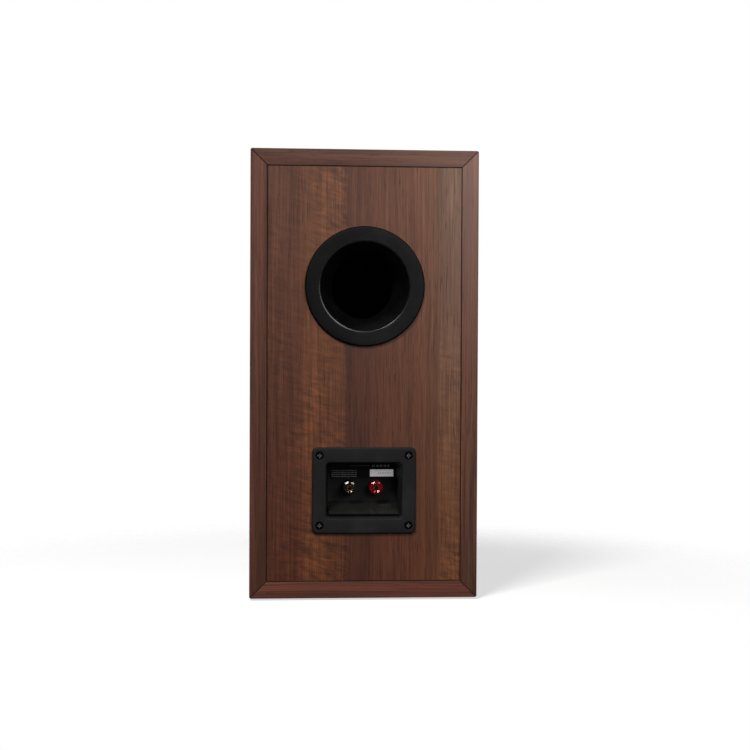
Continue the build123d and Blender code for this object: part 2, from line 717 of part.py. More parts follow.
SPIDER_T = 0.5
SPIDER_ROLLS = 5
SPIDER_IN_R, SPIDER_OUT_R = 16.0, 37.0
SPIDER_RIM_R = 42.5
SPIDER_WAVE = 1.3


def spider_edge(height):
    """Corrugated line from the spider's neck to its rim."""
    width = (SPIDER_OUT_R - SPIDER_IN_R) / SPIDER_ROLLS
    for i in range(SPIDER_ROLLS):
        start = SPIDER_IN_R + i * width
        bulge = SPIDER_WAVE if i % 2 == 0 else -SPIDER_WAVE
        ThreePointArc(
            (start, height), (start + width / 2, height + bulge), (start + width, height)
        )


with BuildPart() as woofer_spider:
    with BuildSketch(WOOFER_SECTION):
        neck_r, rim_r = FORMER_R + 0.05, SPIDER_RIM_R
        low, high = LANDING, LANDING + SPIDER_T
        with BuildLine():
            Line((neck_r, low), (SPIDER_IN_R, low))
            spider_edge(low)
            Line((SPIDER_OUT_R, low), (rim_r, low))
            Line((rim_r, low), (rim_r, high))
            Line((rim_r, high), (SPIDER_OUT_R, high))
            spider_edge(high)
            Line((SPIDER_IN_R, high), (neck_r, high))
            Line((neck_r, high), (neck_r, low))
        make_face()
    revolve(axis=WOOFER_AXIS)
write(woofer_spider, "woofer_spider")

with BuildPart() as woofer_top_plate:
    with BuildSketch(WOOFER_SECTION):
        block(GAP_OUT_R, TOP_PLATE_R, MAGNET_TOP, BASKET_FLOOR)
    revolve(axis=WOOFER_AXIS)
write(woofer_top_plate, "woofer_top_plate")

with BuildPart() as woofer_magnet:
    with BuildSketch(WOOFER_SECTION):
        block(MAGNET_IN_R, MAGNET_OUT_R, MAGNET_BACK, MAGNET_TOP)
    revolve(axis=WOOFER_AXIS)
    chamfer(woofer_magnet.edges().filter_by(GeomType.CIRCLE), 0.8)
write(woofer_magnet, "woofer_magnet")

with BuildPart() as woofer_yoke:
    with BuildSketch(WOOFER_SECTION):
        outline(
            (VENT_R, YOKE_BACK),
            (YOKE_R - 1, YOKE_BACK),
            (YOKE_R, YOKE_BACK + 1),
            (YOKE_R, MAGNET_BACK),
            (GAP_IN_R, MAGNET_BACK),
            (GAP_IN_R, BASKET_FLOOR + 1),
            (VENT_R, BASKET_FLOOR + 1),
        )
    revolve(axis=WOOFER_AXIS)
write(woofer_yoke, "woofer_yoke")

HEAD_R, HEAD_H = 3.8, 2.2
HEX_R = 1.5  # across the flats of the key's socket
HEX_DEPTH = 2.2

with BuildPart() as woofer_screws:
    for screw_x, screw_z in WOOFER_SCREWS:
        with BuildSketch(
            Plane(
                origin=(screw_x, FRONT_Y, WOOFER_Z + screw_z), x_dir=(1, 0, 0), z_dir=(0, 0, -1)
            )
        ):
            with BuildLine():
                Polyline((0, HEAD_H), (0, -WALL), (SCREW_R, -WALL + 3), (SCREW_R, 0))
                Polyline((SCREW_R, 0), (HEAD_R, 0), (HEAD_R, 0.6))
                RadiusArc((HEAD_R, 0.6), (0, HEAD_H), -5.3)
            make_face()
        revolve(axis=axis_y(screw_x, WOOFER_Z + screw_z))
    with BuildSketch(FRONT.offset(PROUD)):
        with Locations(*[(x, WOOFER_Z + y) for x, y in WOOFER_SCREWS]):
            RegularPolygon(HEX_R, 6, major_radius=False)
    extrude(amount=-HEX_DEPTH, mode=Mode.SUBTRACT)
write(woofer_screws, "woofer_screws")

# Terminal block under the frame's lowest spoke.
BLOCK_TOP_Z = WOOFER_Z - 62.15
BLOCK_T = 2.0
BLOCK_Y = (FRONT_Y + 17, FRONT_Y + 27)
BLOCK_RISE = 7.0
BLOCK_HALF_W = 12.0
TAB_T = 0.8
WOOFER_TAB_W, TWEETER_TAB_W = 4.8, 4.0
WOOFER_TAB_X = 7.0
WOOFER_TAB_END = FRONT_Y + 36

with BuildPart() as woofer_terminal_block:
    with BuildSketch(Plane.YZ):
        outline(
            (BLOCK_Y[0], BLOCK_TOP_Z),
            (BLOCK_Y[1], BLOCK_TOP_Z + BLOCK_RISE),
            (BLOCK_Y[1], BLOCK_TOP_Z - BLOCK_T),
            (BLOCK_Y[0], BLOCK_TOP_Z - BLOCK_T),
        )
    extrude(amount=BLOCK_HALF_W, both=True)
write(woofer_terminal_block, "woofer_terminal_block")

# ---- Tweeter ----------------------------------------------------------------------------
TWEETER_SECTION = front_section(TWEETER_Z)
TWEETER_AXIS = axis_y(0, TWEETER_Z)
THROAT_R = 16.4
THROAT = -15.0
DOME_R = 12.7
DOME_TOP = -11.0
DOME_FOOT = THROAT - 1.2
GUIDE_R = 48.0  # where the waveguide meets the flat of the faceplate
TWEETER_PLATE_TOP = -20.0
TWEETER_MAGNET_TOP = TWEETER_PLATE_TOP - 4
TWEETER_MAGNET_BACK = TWEETER_MAGNET_TOP - 13
TWEETER_BACK = TWEETER_MAGNET_BACK - 5
TWEETER_BODY_R = 34.0
TWEETER_PLATE_R = 33.0
TWEETER_GAP_IN_R, TWEETER_GAP_OUT_R = 11.6, 13.7
TWEETER_MAGNET_IN_R, TWEETER_MAGNET_OUT_R = 20.0, 36.0
TWEETER_SCREW_TOP = -0.3
TWEETER_HEX_DEPTH = 1.6

with BuildPart() as tweeter_faceplate:
    with BuildSketch(TWEETER_SECTION):
        with BuildLine():
            Line((THROAT_R, THROAT), (THROAT_R, THROAT - 1))
            ThreePointArc((THROAT_R, THROAT), (30, -5.2), (GUIDE_R, -0.4))
            Line((GUIDE_R, -0.4), (GUIDE_R + 1, 0))
            Line((GUIDE_R + 1, 0), (TWEETER_R - 0.8, 0))
            Line((TWEETER_R - 0.8, 0), (TWEETER_R, -0.8))
            Line((TWEETER_R, -0.8), (TWEETER_R, -FLANGE_T))
            Line((TWEETER_R, -FLANGE_T), (TWEETER_BODY_R + 4, -FLANGE_T))
            Line((TWEETER_BODY_R + 4, -FLANGE_T), (TWEETER_BODY_R, -2 * FLANGE_T))
            Line((TWEETER_BODY_R, -2 * FLANGE_T), (TWEETER_BODY_R, TWEETER_PLATE_TOP))
            Line((TWEETER_BODY_R, TWEETER_PLATE_TOP), (THROAT_R + 2, TWEETER_PLATE_TOP))
            Line((THROAT_R + 2, TWEETER_PLATE_TOP), (THROAT_R + 2, THROAT - 1))
            Line((THROAT_R + 2, THROAT - 1), (THROAT_R, THROAT - 1))
        make_face()
    revolve(axis=TWEETER_AXIS)
    with Locations(*[FRONT * Pos(x, TWEETER_Z + y) for x, y in TWEETER_SCREWS]):
        CounterSinkHole(PILOT_R, SINK_R, depth=FLANGE_T, counter_sink_angle=90)
write(tweeter_faceplate, "tweeter_faceplate")

with BuildPart() as tweeter_gasket:
    with BuildSketch(FRONT.offset(-FLANGE_T)):
        with Locations((0, TWEETER_Z)):
            Circle(TWEETER_R - 0.5)
            Circle(TWEETER_HOLE_R + 0.5, mode=Mode.SUBTRACT)
        with Locations(*[(x, TWEETER_Z + y) for x, y in TWEETER_SCREWS]):
            Circle(PILOT_R, mode=Mode.SUBTRACT)
    extrude(amount=-GASKET_T)
write(tweeter_gasket, "tweeter_gasket")

DOME_T = 0.35

with BuildPart() as tweeter_dome:
    with BuildSketch(TWEETER_SECTION):
        inner_r = DOME_R - DOME_T
        under = DOME_TOP - DOME_T
        skirt = TWEETER_PLATE_TOP - 3
        with BuildLine():
            TangentArc((0, DOME_TOP), (DOME_R, DOME_FOOT), tangent=(1, 0))
            Polyline((DOME_R, DOME_FOOT), (DOME_R, skirt), (inner_r, skirt), (inner_r, DOME_FOOT))
            TangentArc((0, under), (inner_r, DOME_FOOT), tangent=(1, 0))
            Line((0, under), (0, DOME_TOP))
        make_face()
    revolve(axis=TWEETER_AXIS)
write(tweeter_dome, "tweeter_dome")

with BuildPart() as tweeter_surround:
    with BuildSketch(TWEETER_SECTION):
        rim_r = THROAT_R + 1.9
        with BuildLine():
            Line((rim_r, DOME_FOOT - 0.3), (rim_r, DOME_FOOT))
            Line((rim_r, DOME_FOOT), (THROAT_R - 0.1, DOME_FOOT))
            ThreePointArc(
                (THROAT_R - 0.1, DOME_FOOT), (14.6, DOME_FOOT + 1.3), (DOME_R + 0.05, DOME_FOOT)
            )
            Line((DOME_R + 0.05, DOME_FOOT), (DOME_R + 0.05, DOME_FOOT - 0.3))
            ThreePointArc(
                (DOME_R + 0.05, DOME_FOOT - 0.3),
                (14.6, DOME_FOOT + 0.95),
                (THROAT_R - 0.1, DOME_FOOT - 0.3),
            )
            Line((THROAT_R - 0.1, DOME_FOOT - 0.3), (rim_r, DOME_FOOT - 0.3))
        make_face()
    revolve(axis=TWEETER_AXIS)
write(tweeter_surround, "tweeter_surround")

with BuildPart() as tweeter_top_plate:
    with BuildSketch(TWEETER_SECTION):
        block(TWEETER_GAP_OUT_R, TWEETER_PLATE_R, TWEETER_MAGNET_TOP, TWEETER_PLATE_TOP)
    revolve(axis=TWEETER_AXIS)
write(tweeter_top_plate, "tweeter_top_plate")

with BuildPart() as tweeter_magnet:
    with BuildSketch(TWEETER_SECTION):
        block(TWEETER_MAGNET_IN_R, TWEETER_MAGNET_OUT_R, TWEETER_MAGNET_BACK, TWEETER_MAGNET_TOP)
    revolve(axis=TWEETER_AXIS)
write(tweeter_magnet, "tweeter_magnet")

with BuildPart() as tweeter_yoke:
    with BuildSketch(TWEETER_SECTION):
        outline(
            (0, TWEETER_BACK),
            (TWEETER_PLATE_R, TWEETER_BACK),
            (TWEETER_PLATE_R, TWEETER_MAGNET_BACK),
            (TWEETER_GAP_IN_R, TWEETER_MAGNET_BACK),
            (TWEETER_GAP_IN_R, TWEETER_PLATE_TOP),
            (0, TWEETER_PLATE_TOP),
        )
    revolve(axis=TWEETER_AXIS)
write(tweeter_yoke, "tweeter_yoke")

with BuildPart() as tweeter_screws:
    for screw_x, screw_z in TWEETER_SCREWS:
        with BuildSketch(
            Plane(
                origin=(screw_x, FRONT_Y, TWEETER_Z + screw_z), x_dir=(1, 0, 0), z_dir=(0, 0, -1)
            )
        ):
            outline(
                (0, TWEETER_SCREW_TOP),
                (HEAD_R + 0.05, TWEETER_SCREW_TOP),
                (SCREW_R, TWEETER_SCREW_TOP - HEAD_R - 0.05 + SCREW_R),
                (SCREW_R, -WALL + 3),
                (0, -WALL),
            )
        revolve(axis=axis_y(screw_x, TWEETER_Z + screw_z))
    with BuildSketch(FRONT.offset(TWEETER_SCREW_TOP)):
        with Locations(*[(x, TWEETER_Z + y) for x, y in TWEETER_SCREWS]):
            RegularPolygon(HEX_R, 6, major_radius=False)
    extrude(amount=-TWEETER_HEX_DEPTH, mode=Mode.SUBTRACT)
write(tweeter_screws, "tweeter_screws")

# Push-on tabs of both drivers.
TWEETER_TAB_X = 9.0
TWEETER_TAB_Z = TWEETER_Z - 42.0
TWEETER_TAB_END = FRONT_Y + 20

with BuildPart() as driver_tabs:
    with BuildSketch(Plane.XY.offset(BLOCK_TOP_Z - BLOCK_T)):
        for tab_x in (-WOOFER_TAB_X, WOOFER_TAB_X):
            block(tab_x - WOOFER_TAB_W / 2, tab_x + WOOFER_TAB_W / 2, BLOCK_Y[0] + 2, WOOFER_TAB_END)
    extrude(amount=-TAB_T)
    with BuildSketch(Plane.XY.offset(TWEETER_TAB_Z - TAB_T / 2)):
        for tab_x in (-TWEETER_TAB_X, TWEETER_TAB_X):
            block(
                tab_x - TWEETER_TAB_W / 2, tab_x + TWEETER_TAB_W / 2, FRONT_Y + FLANGE_T, TWEETER_TAB_END
            )
    extrude(amount=TAB_T)
write(driver_tabs, "driver_tabs")

# ---- Crossover board on the floor of the cabinet ----------------------------------------
BOARD_T = 1.6
STANDOFF_H = 6.0
STANDOFF_R = 3.5
BOARD_W, BOARD_D, BOARD_Y = 120.0, 80.0, 45.0
BOARD_HOLE_R = 1.7
BOARD_SCREW_R, BOARD_HEAD_R, BOARD_HEAD_H = 1.6, 3.2, 2.0
BOARD_Z = FLOOR_Z + STANDOFF_H + BOARD_T  # its upper face
BOARD_HOLES = [
    (x * (BOARD_W / 2 - 5), BOARD_Y + y * (BOARD_D / 2 - 5)) for x in (-1, 1) for y in (-1, 1)
]

with BuildPart() as crossover_board:
    with BuildSketch(Plane.XY.offset(BOARD_Z - BOARD_T)):
        with Locations((0, BOARD_Y)):
            RectangleRounded(BOARD_W, BOARD_D, 3)
        with Locations(*BOARD_HOLES):
            Circle(BOARD_HOLE_R, mode=Mode.SUBTRACT)
    extrude(amount=BOARD_T)
write(crossover_board, "crossover_board")

with BuildPart() as crossover_standoffs:
    with BuildSketch(Plane.XY.offset(FLOOR_Z)):
        with Locations(*BOARD_HOLES):
            Circle(STANDOFF_R)
            Circle(BOARD_HOLE_R, mode=Mode.SUBTRACT)
    extrude(amount=STANDOFF_H)
write(crossover_standoffs, "crossover_standoffs")

with BuildPart() as crossover_screws:
    with BuildSketch(Plane.XY.offset(FLOOR_Z)):
        with Locations(*BOARD_HOLES):
            Circle(BOARD_SCREW_R)
    extrude(amount=BOARD_Z - FLOOR_Z)
    with BuildSketch(Plane.XY.offset(BOARD_Z)):
        with Locations(*BOARD_HOLES):
            Circle(BOARD_HEAD_R)
    extrude(amount=BOARD_HEAD_H)
write(crossover_screws, "crossover_screws")

# Place, outer radius, inner radius and height of each coil.
COILS = [((-36, 28), 18.0, 9.0, 22.0), ((36, 62), 14.0, 6.0, 16.0)]

with BuildPart() as crossover_coils:
    for (coil_x, coil_y), coil_r, core_r, coil_h in COILS:
        with BuildSketch(Plane.XY.offset(BOARD_Z)):
            with Locations((coil_x, coil_y)):
                Circle(coil_r)
                Circle(core_r, mode=Mode.SUBTRACT)
        extrude(amount=coil_h)
write(crossover_coils, "crossover_coils")

# Place, radius and length of each capacitor.
CAPACITORS = [((0, 31), 10.0, 32.0), ((0, 55), 8.0, 28.0), ((-34, 68), 6.5, 26.0)]

with BuildPart() as crossover_capacitors:
    for (can_x, can_y), can_r, can_l in CAPACITORS:
        with BuildSketch(Plane.YZ.offset(can_x - can_l / 2)):
            with Locations((can_y, BOARD_Z + can_r + 0.1)):
                Circle(can_r)
        extrude(amount=can_l)
write(crossover_capacitors, "crossover_capacitors")

RESISTOR_W, RESISTOR_L = 9.0, 36.0
RESISTOR_LIFT = 0.5

with BuildPart() as crossover_resistors:
    with BuildSketch(Plane.XY.offset(BOARD_Z + RESISTOR_LIFT)):
        with Locations((33, 25), (45, 25)):
            Rectangle(RESISTOR_W, RESISTOR_L)
    extrude(amount=RESISTOR_W)
write(crossover_resistors, "crossover_resistors")

# ---- Leads inside the cabinet -----------------------------------------------------------
LEAD_R = 1.2


def route_radii(points):
    """Bend radius at each inner corner: 0.45 of the shorter run over tan of half the turn."""
    radii = []
    for before, at, after in zip(points, points[1:], points[2:]):
        inward = Vector(*at) - Vector(*before)
        outward = Vector(*after) - Vector(*at)
        shorter = min(inward.length, outward.length)
        half_turn = radians(inward.get_angle(outward)) / 2
        radii.append(0.45 * shorter / tan(half_turn))
    return radii


def leads(routes):
    """Round wires along routes of straight runs joined by tangent arcs."""
    with BuildPart() as wires:
        for points in routes:
            with BuildLine() as route:
                FilletPolyline(*points, radius=route_radii(points))
            with BuildSketch(Plane(origin=points[0], z_dir=Vector(*points[1]) - Vector(*points[0]))):
                Circle(LEAD_R)
            sweep(path=route.line)
    return wires


LUG_Y = REAR_Y + LUG_FACE - LUG_T / 2
WOOFER_TAB_Z = BLOCK_TOP_Z - BLOCK_T - TAB_T / 2


def input_route(side):
    """From a solder lug down to the rear edge of the crossover board."""
    return [
        (side * POST_X, LUG_Y, LUG_TIP_Z),
        (side * POST_X, LUG_Y, 74),
        (side * 15, 92, 56),
        (side * 21, 79, 42),
        (side * 21, 79, BOARD_Z),
    ]


def woofer_route(side):
    """From the front edge of the board, under the magnet, to a woofer tab."""
    return [
        (side * 15, 12, BOARD_Z),
        (side * 15, 12, 42),
        (side * 13, -8, 58),
        (side * 9, -38, 66),
        (side * WOOFER_TAB_X, -68, WOOFER_TAB_Z),
        (side * WOOFER_TAB_X, WOOFER_TAB_END, WOOFER_TAB_Z),
    ]


def tweeter_route(side):
    """From the board up one side, through the brace, and past the port to a tweeter tab."""
    shift = 4 * side
    return [
        (-56, 56 + shift, BOARD_Z),
        (-56, 56 + shift, 54),
        (-58, 58 + shift, 96),
        (-55, 56 + shift, 140),
        (-56, 50 + shift, 186),
        (-58, 30 + shift, 224),
        (-56, -8 + shift, 246),
        (-42 + shift, -48, 256 - shift),
        (-14 + shift / 2 + side * 6, -80, 257 - shift / 2),
        (side * TWEETER_TAB_X, -98, TWEETER_TAB_Z),
        (side * TWEETER_TAB_X, TWEETER_TAB_END, TWEETER_TAB_Z),
    ]


for colour, side in (("black", 1), ("red", -1)):
    write(leads([input_route(side), woofer_route(side), tweeter_route(side)]), f"leads_{colour}")

# ---- Lining, feet and grille sockets ----------------------------------------------------
LINING_T = 14.0
LINING_Y = (-60.0, 95.0)

with BuildPart() as wadding:
    for side_x in (-1, 1):
        wall_x = side_x * INNER_W / 2
        inner_x = wall_x - side_x * LINING_T
        for low_z, high_z in ((FLOOR_Z + 8, BRACE_Z - 8), (BRACE_Z + BRACE_T + 6, TOP_Z - WALL - 20)):
            with BuildSketch(Plane.XY.offset(low_z)):
                block(min(wall_x, inner_x), max(wall_x, inner_x), *LINING_Y)
            extrude(amount=high_z - low_z)
    with BuildSketch(Plane.XY.offset(TOP_Z - WALL - LINING_T)):
        block(-INNER_W / 2 + 6, INNER_W / 2 - 6, *LINING_Y)
    extrude(amount=LINING_T)
write(wadding, "acoustic_wadding")

with BuildPart() as rubber_feet:
    with BuildSketch(Plane.XY):
        with GridLocations(2 * FOOT_X, 2 * FOOT_Y, 2, 2):
            Circle(FOOT_R)
    extrude(amount=FOOT_H)
    chamfer(rubber_feet.edges().group_by(Axis.Z)[0], 0.4)
write(rubber_feet, "rubber_feet")

GRILLE_PEG_R = 3.0
SOCKET_LIP_R = 5.6
SOCKET_LIP = 0.7
SOCKET_FLOOR_T = 1.4
SOCKET_PLAY = 0.02

with BuildPart() as grille_sockets:
    for socket_x, socket_z in SOCKETS:
        with BuildSketch(
            Plane(origin=(socket_x, FRONT_Y, socket_z), x_dir=(1, 0, 0), z_dir=(0, 0, -1))
        ):
            outline(
                (0, -SOCKET_DEPTH),
                (SOCKET_R - SOCKET_PLAY, -SOCKET_DEPTH),
                (SOCKET_R - SOCKET_PLAY, 0),
                (SOCKET_LIP_R, 0),
                (SOCKET_LIP_R - 0.2, SOCKET_LIP),
                (GRILLE_PEG_R, SOCKET_LIP),
                (GRILLE_PEG_R, -SOCKET_DEPTH + SOCKET_FLOOR_T),
                (0, -SOCKET_DEPTH + SOCKET_FLOOR_T),
            )
        revolve(axis=axis_y(socket_x, socket_z))
write(grille_sockets, "grille_sockets")
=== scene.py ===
"""Looks of a two-way bookshelf speaker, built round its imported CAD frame. Metres, +Z up, rear at +Y."""

from math import atan2, cos, pi, radians, sin, sqrt, tan

import bmesh
import bpy
from mathutils import Matrix, Vector


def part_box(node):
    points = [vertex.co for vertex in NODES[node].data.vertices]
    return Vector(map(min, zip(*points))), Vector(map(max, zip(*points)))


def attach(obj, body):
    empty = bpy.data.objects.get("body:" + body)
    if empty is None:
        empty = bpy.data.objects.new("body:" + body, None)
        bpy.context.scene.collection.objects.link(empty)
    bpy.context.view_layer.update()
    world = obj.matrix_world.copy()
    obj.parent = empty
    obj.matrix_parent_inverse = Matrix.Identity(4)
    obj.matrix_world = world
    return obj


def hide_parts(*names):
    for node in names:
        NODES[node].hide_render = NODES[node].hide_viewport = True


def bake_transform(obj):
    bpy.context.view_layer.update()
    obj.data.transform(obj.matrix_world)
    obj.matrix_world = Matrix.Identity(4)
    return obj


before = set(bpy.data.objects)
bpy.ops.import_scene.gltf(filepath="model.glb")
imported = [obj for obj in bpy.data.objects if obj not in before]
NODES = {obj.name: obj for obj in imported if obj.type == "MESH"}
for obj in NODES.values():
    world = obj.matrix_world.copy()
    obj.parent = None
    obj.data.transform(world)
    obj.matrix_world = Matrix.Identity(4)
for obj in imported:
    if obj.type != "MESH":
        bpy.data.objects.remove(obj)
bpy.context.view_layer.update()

# ---- Places read from the frame --------------------------------------------------------------
REAR_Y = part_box("rear_panel")[1].y
FRONT_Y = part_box("front_baffle")[0].y
TOP_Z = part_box("top_panel")[1].z
PANEL_LO, PANEL_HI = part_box("rear_panel")


def middle(node):
    low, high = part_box(node)
    return (low + high) / 2


CUP = middle("terminal_cup")
PORT = middle("port_tube")
WOOFER = middle("woofer_trim_ring")
TWEETER = middle("tweeter_faceplate")
POSTS = {side: middle(f"{side}_post_cap") for side in ("black", "red")}
SCREW_OFF_X, SCREW_OFF_Z = 0.0421, 0.0331
SCREW_SPOTS = [(side * SCREW_OFF_X, CUP.z + end * SCREW_OFF_Z) for side in (-1, 1) for end in (-1, 1)]


# ---- Material graphs -------------------------------------------------------------------------
def srgb(red, green, blue):
    """Linear colour of an 8-bit sRGB colour."""
    channels = []
    for value in (red, green, blue):
        part = value / 255
        channels.append(part / 12.92 if part <= 0.04045 else ((part + 0.055) / 1.055) ** 2.4)
    return (*channels, 1.0)


class Look:
    """A Principled material with short ways to add nodes and join them."""

    def __init__(self, name, **settings):
        self.material = bpy.data.materials.new(name)
        self.material.use_nodes = True
        self.tree = self.material.node_tree
        self.shader = self.tree.nodes["Principled BSDF"]
        for socket, value in settings.items():
            self.set(socket, value)

    def set(self, socket, value):
        """Gives a shader input a number, a colour or another node's output."""
        self.feed(self.shader.inputs[socket.replace("_", " ")], value)

    def base(self):
        """The output that feeds the base colour so far."""
        return self.shader.inputs["Base Color"].links[0].from_socket

    def feed(self, socket, value):
        if isinstance(value, bpy.types.NodeSocket):
            self.tree.links.new(value, socket)
        else:
            socket.default_value = value

    def node(self, kind, inputs, output=0, **properties):
        made = self.tree.nodes.new("ShaderNode" + kind)
        for key, value in properties.items():
            setattr(made, key, value)
        for key, value in inputs.items():
            self.feed(made.inputs[key], value)
        return made.outputs[output]

    def point(self):
        return self.node("TexCoord", {}, "Object")

    def axis(self, vector, index):
        return self.node("SeparateXYZ", {0: vector}, index)

    def scaled(self, vector, factors):
        return self.node("VectorMath", {0: vector, 1: factors}, operation="MULTIPLY")

    def shifted(self, vector, offset):
        return self.node("VectorMath", {0: vector, 1: offset}, operation="ADD")

    def length(self, vector):
        return self.node("VectorMath", {0: vector}, "Value", operation="LENGTH")

    def sum(self, operation, a, b=0.0, c=0.0):
        return self.node("Math", {0: a, 1: b, 2: c}, operation=operation)

    def noise(self, vector, scale=1.0, detail=2.0, roughness=0.5, distortion=0.0, output=0):
        inputs = {"Vector": vector, "Scale": scale, "Detail": detail}
        inputs |= {"Roughness": roughness, "Distortion": distortion}
        return self.node("TexNoise", inputs, output)

    def smooth(self, value, low, high, start=0.0, end=1.0):
        """Moves smoothly from start to end as the value goes from low to high."""
        inputs = {"Value": value, "From Min": low, "From Max": high, "To Min": start, "To Max": end}
        return self.node("MapRange", inputs, interpolation_type="SMOOTHSTEP")

    def linear(self, value, low, high, start=0.0, end=1.0):
        inputs = {"Value": value, "From Min": low, "From Max": high, "To Min": start, "To Max": end}
        return self.node("MapRange", inputs)

    def mix(self, factor, a, b, blend="MIX"):
        inputs = {0: factor, 6: a, 7: b}
        return self.node("Mix", inputs, 2, data_type="RGBA", blend_type=blend)

    def ramp(self, factor, stops):
        """Colour ramp through (position, colour) stops."""
        made = self.tree.nodes.new("ShaderNodeValToRGB")
        ramp = made.color_ramp
        ramp.interpolation = "B_SPLINE" if len(stops) > 3 else "LINEAR"
        while len(ramp.elements) < len(stops):
            ramp.elements.new(0.5)
        for element, (position, colour) in zip(ramp.elements, stops):
            element.position = position
            element.color = colour
        self.feed(made.inputs[0], factor)
        return made.outputs[0]

    def bump(self, height, distance, strength=1.0):
        """Adds relief of that depth in metres to the shader's normal."""
        inputs = {"Height": height, "Distance": distance, "Strength": strength}
        socket = self.shader.inputs["Normal"]
        if socket.is_linked:
            inputs["Normal"] = socket.links[0].from_socket
        self.feed(socket, self.node("Bump", inputs))


def grey(value):
    return srgb(value, value, value)


def times(colour, factor, lift=0.0):
    """A fixed colour made lighter or darker."""
    return tuple(min(1.0, part * factor + lift) for part in colour[:3]) + (1.0,)


# ---- Materials -------------------------------------------------------------------------------
def tinge(look, colour, factor):
    """A node's colour times another node's plain number."""
    return look.mix(1.0, colour, look.node("CombineXYZ", {0: factor, 1: factor, 2: factor}), "MULTIPLY")


def walnut(name, along, tones, seed, bands=None, streaky=1.0, rise=None):
    """Satin lacquered walnut veneer whose grain runs along one axis.

    tones are the dark, middle and light colours; bands, if given, takes the look, the
    wandered point and the seed, and returns the colour that the grain is laid over. rise is
    painted light: an axis, two places on it, how far the colour is darkened or lightened at
    each, and the share of painted grey sheen at the second.
    """
    look = Look(name, IOR=1.5, Specular_IOR_Level=0.42)
    point = look.shifted(look.point(), seed)

    def stretched(vector, across, lengthways):
        factors = [across] * 3
        factors[along] = lengthways
        return look.scaled(vector, factors)

    wander = look.noise(stretched(point, 9.0, 2.6), detail=2.0, output=1)
    wander = stretched(look.shifted(wander, (-0.5, -0.5, -0.5)), 0.014, 0.0)
    wandered = look.shifted(point, wander)
    streaks = look.noise(stretched(wandered, 210.0, 2.0), detail=4.0, roughness=0.7)
    fibres = look.noise(stretched(wandered, 700.0, 8.0), detail=3.0, roughness=0.75)
    pores = look.noise(stretched(wandered, 1250.0, 55.0), detail=1.0)
    pores = look.smooth(pores, 0.60, 0.72)
    if bands:
        base = bands(look, wandered, seed)
    else:
        broad = look.noise(stretched(wandered, 34.0, 1.1), detail=3.0, roughness=0.6)
        base = look.ramp(broad, list(zip((0.32, 0.5, 0.66), tones)))
    spread = 0.30 * streaky
    shade = look.linear(streaks, 0.32, 0.68, 1.0 - spread, 1.0 + spread)
    shade = look.sum("MULTIPLY", shade, look.linear(fibres, 0.34, 0.66, 0.70, 1.30))
    shade = look.sum("MULTIPLY", shade, look.linear(pores, 0.0, 1.0, 1.0, 0.6))
    # Painted light: darker towards the rise's start and lighter towards its end, with a painted grey sheen
    # over the lighter half.
    if rise:
        axis, start, end, dim, bright, sheen_share = rise
        place = look.axis(look.point(), axis)
        shade = look.sum("MULTIPLY", shade, look.linear(place, start, end, dim, bright))
        wood = tinge(look, base, shade)
        halfway = (start + end) / 2
        base = look.mix(look.linear(place, halfway, end, 0.0, sheen_share), wood, PAINTED_SHEEN)
    else:
        base = tinge(look, base, shade)
    look.set("Base_Color", base)
    look.set("Roughness", look.linear(fibres, 0.3, 0.7, 0.38, 0.50))
    look.bump(fibres, 0.00005, 0.5)
    look.bump(pores, -0.00008, 0.6)
    return look


# The grey of a painted sheen, standing in for the light that the lacquer reflects where the light grazes it.
PAINTED_SHEEN = srgb(172, 154, 142)
WALNUT = (srgb(74, 39, 27), srgb(94, 54, 39), srgb(116, 73, 52))
PALE_WALNUT = (srgb(95, 52, 39), srgb(111, 63, 48), srgb(128, 78, 59))
GROOVE_HALF = 0.0006


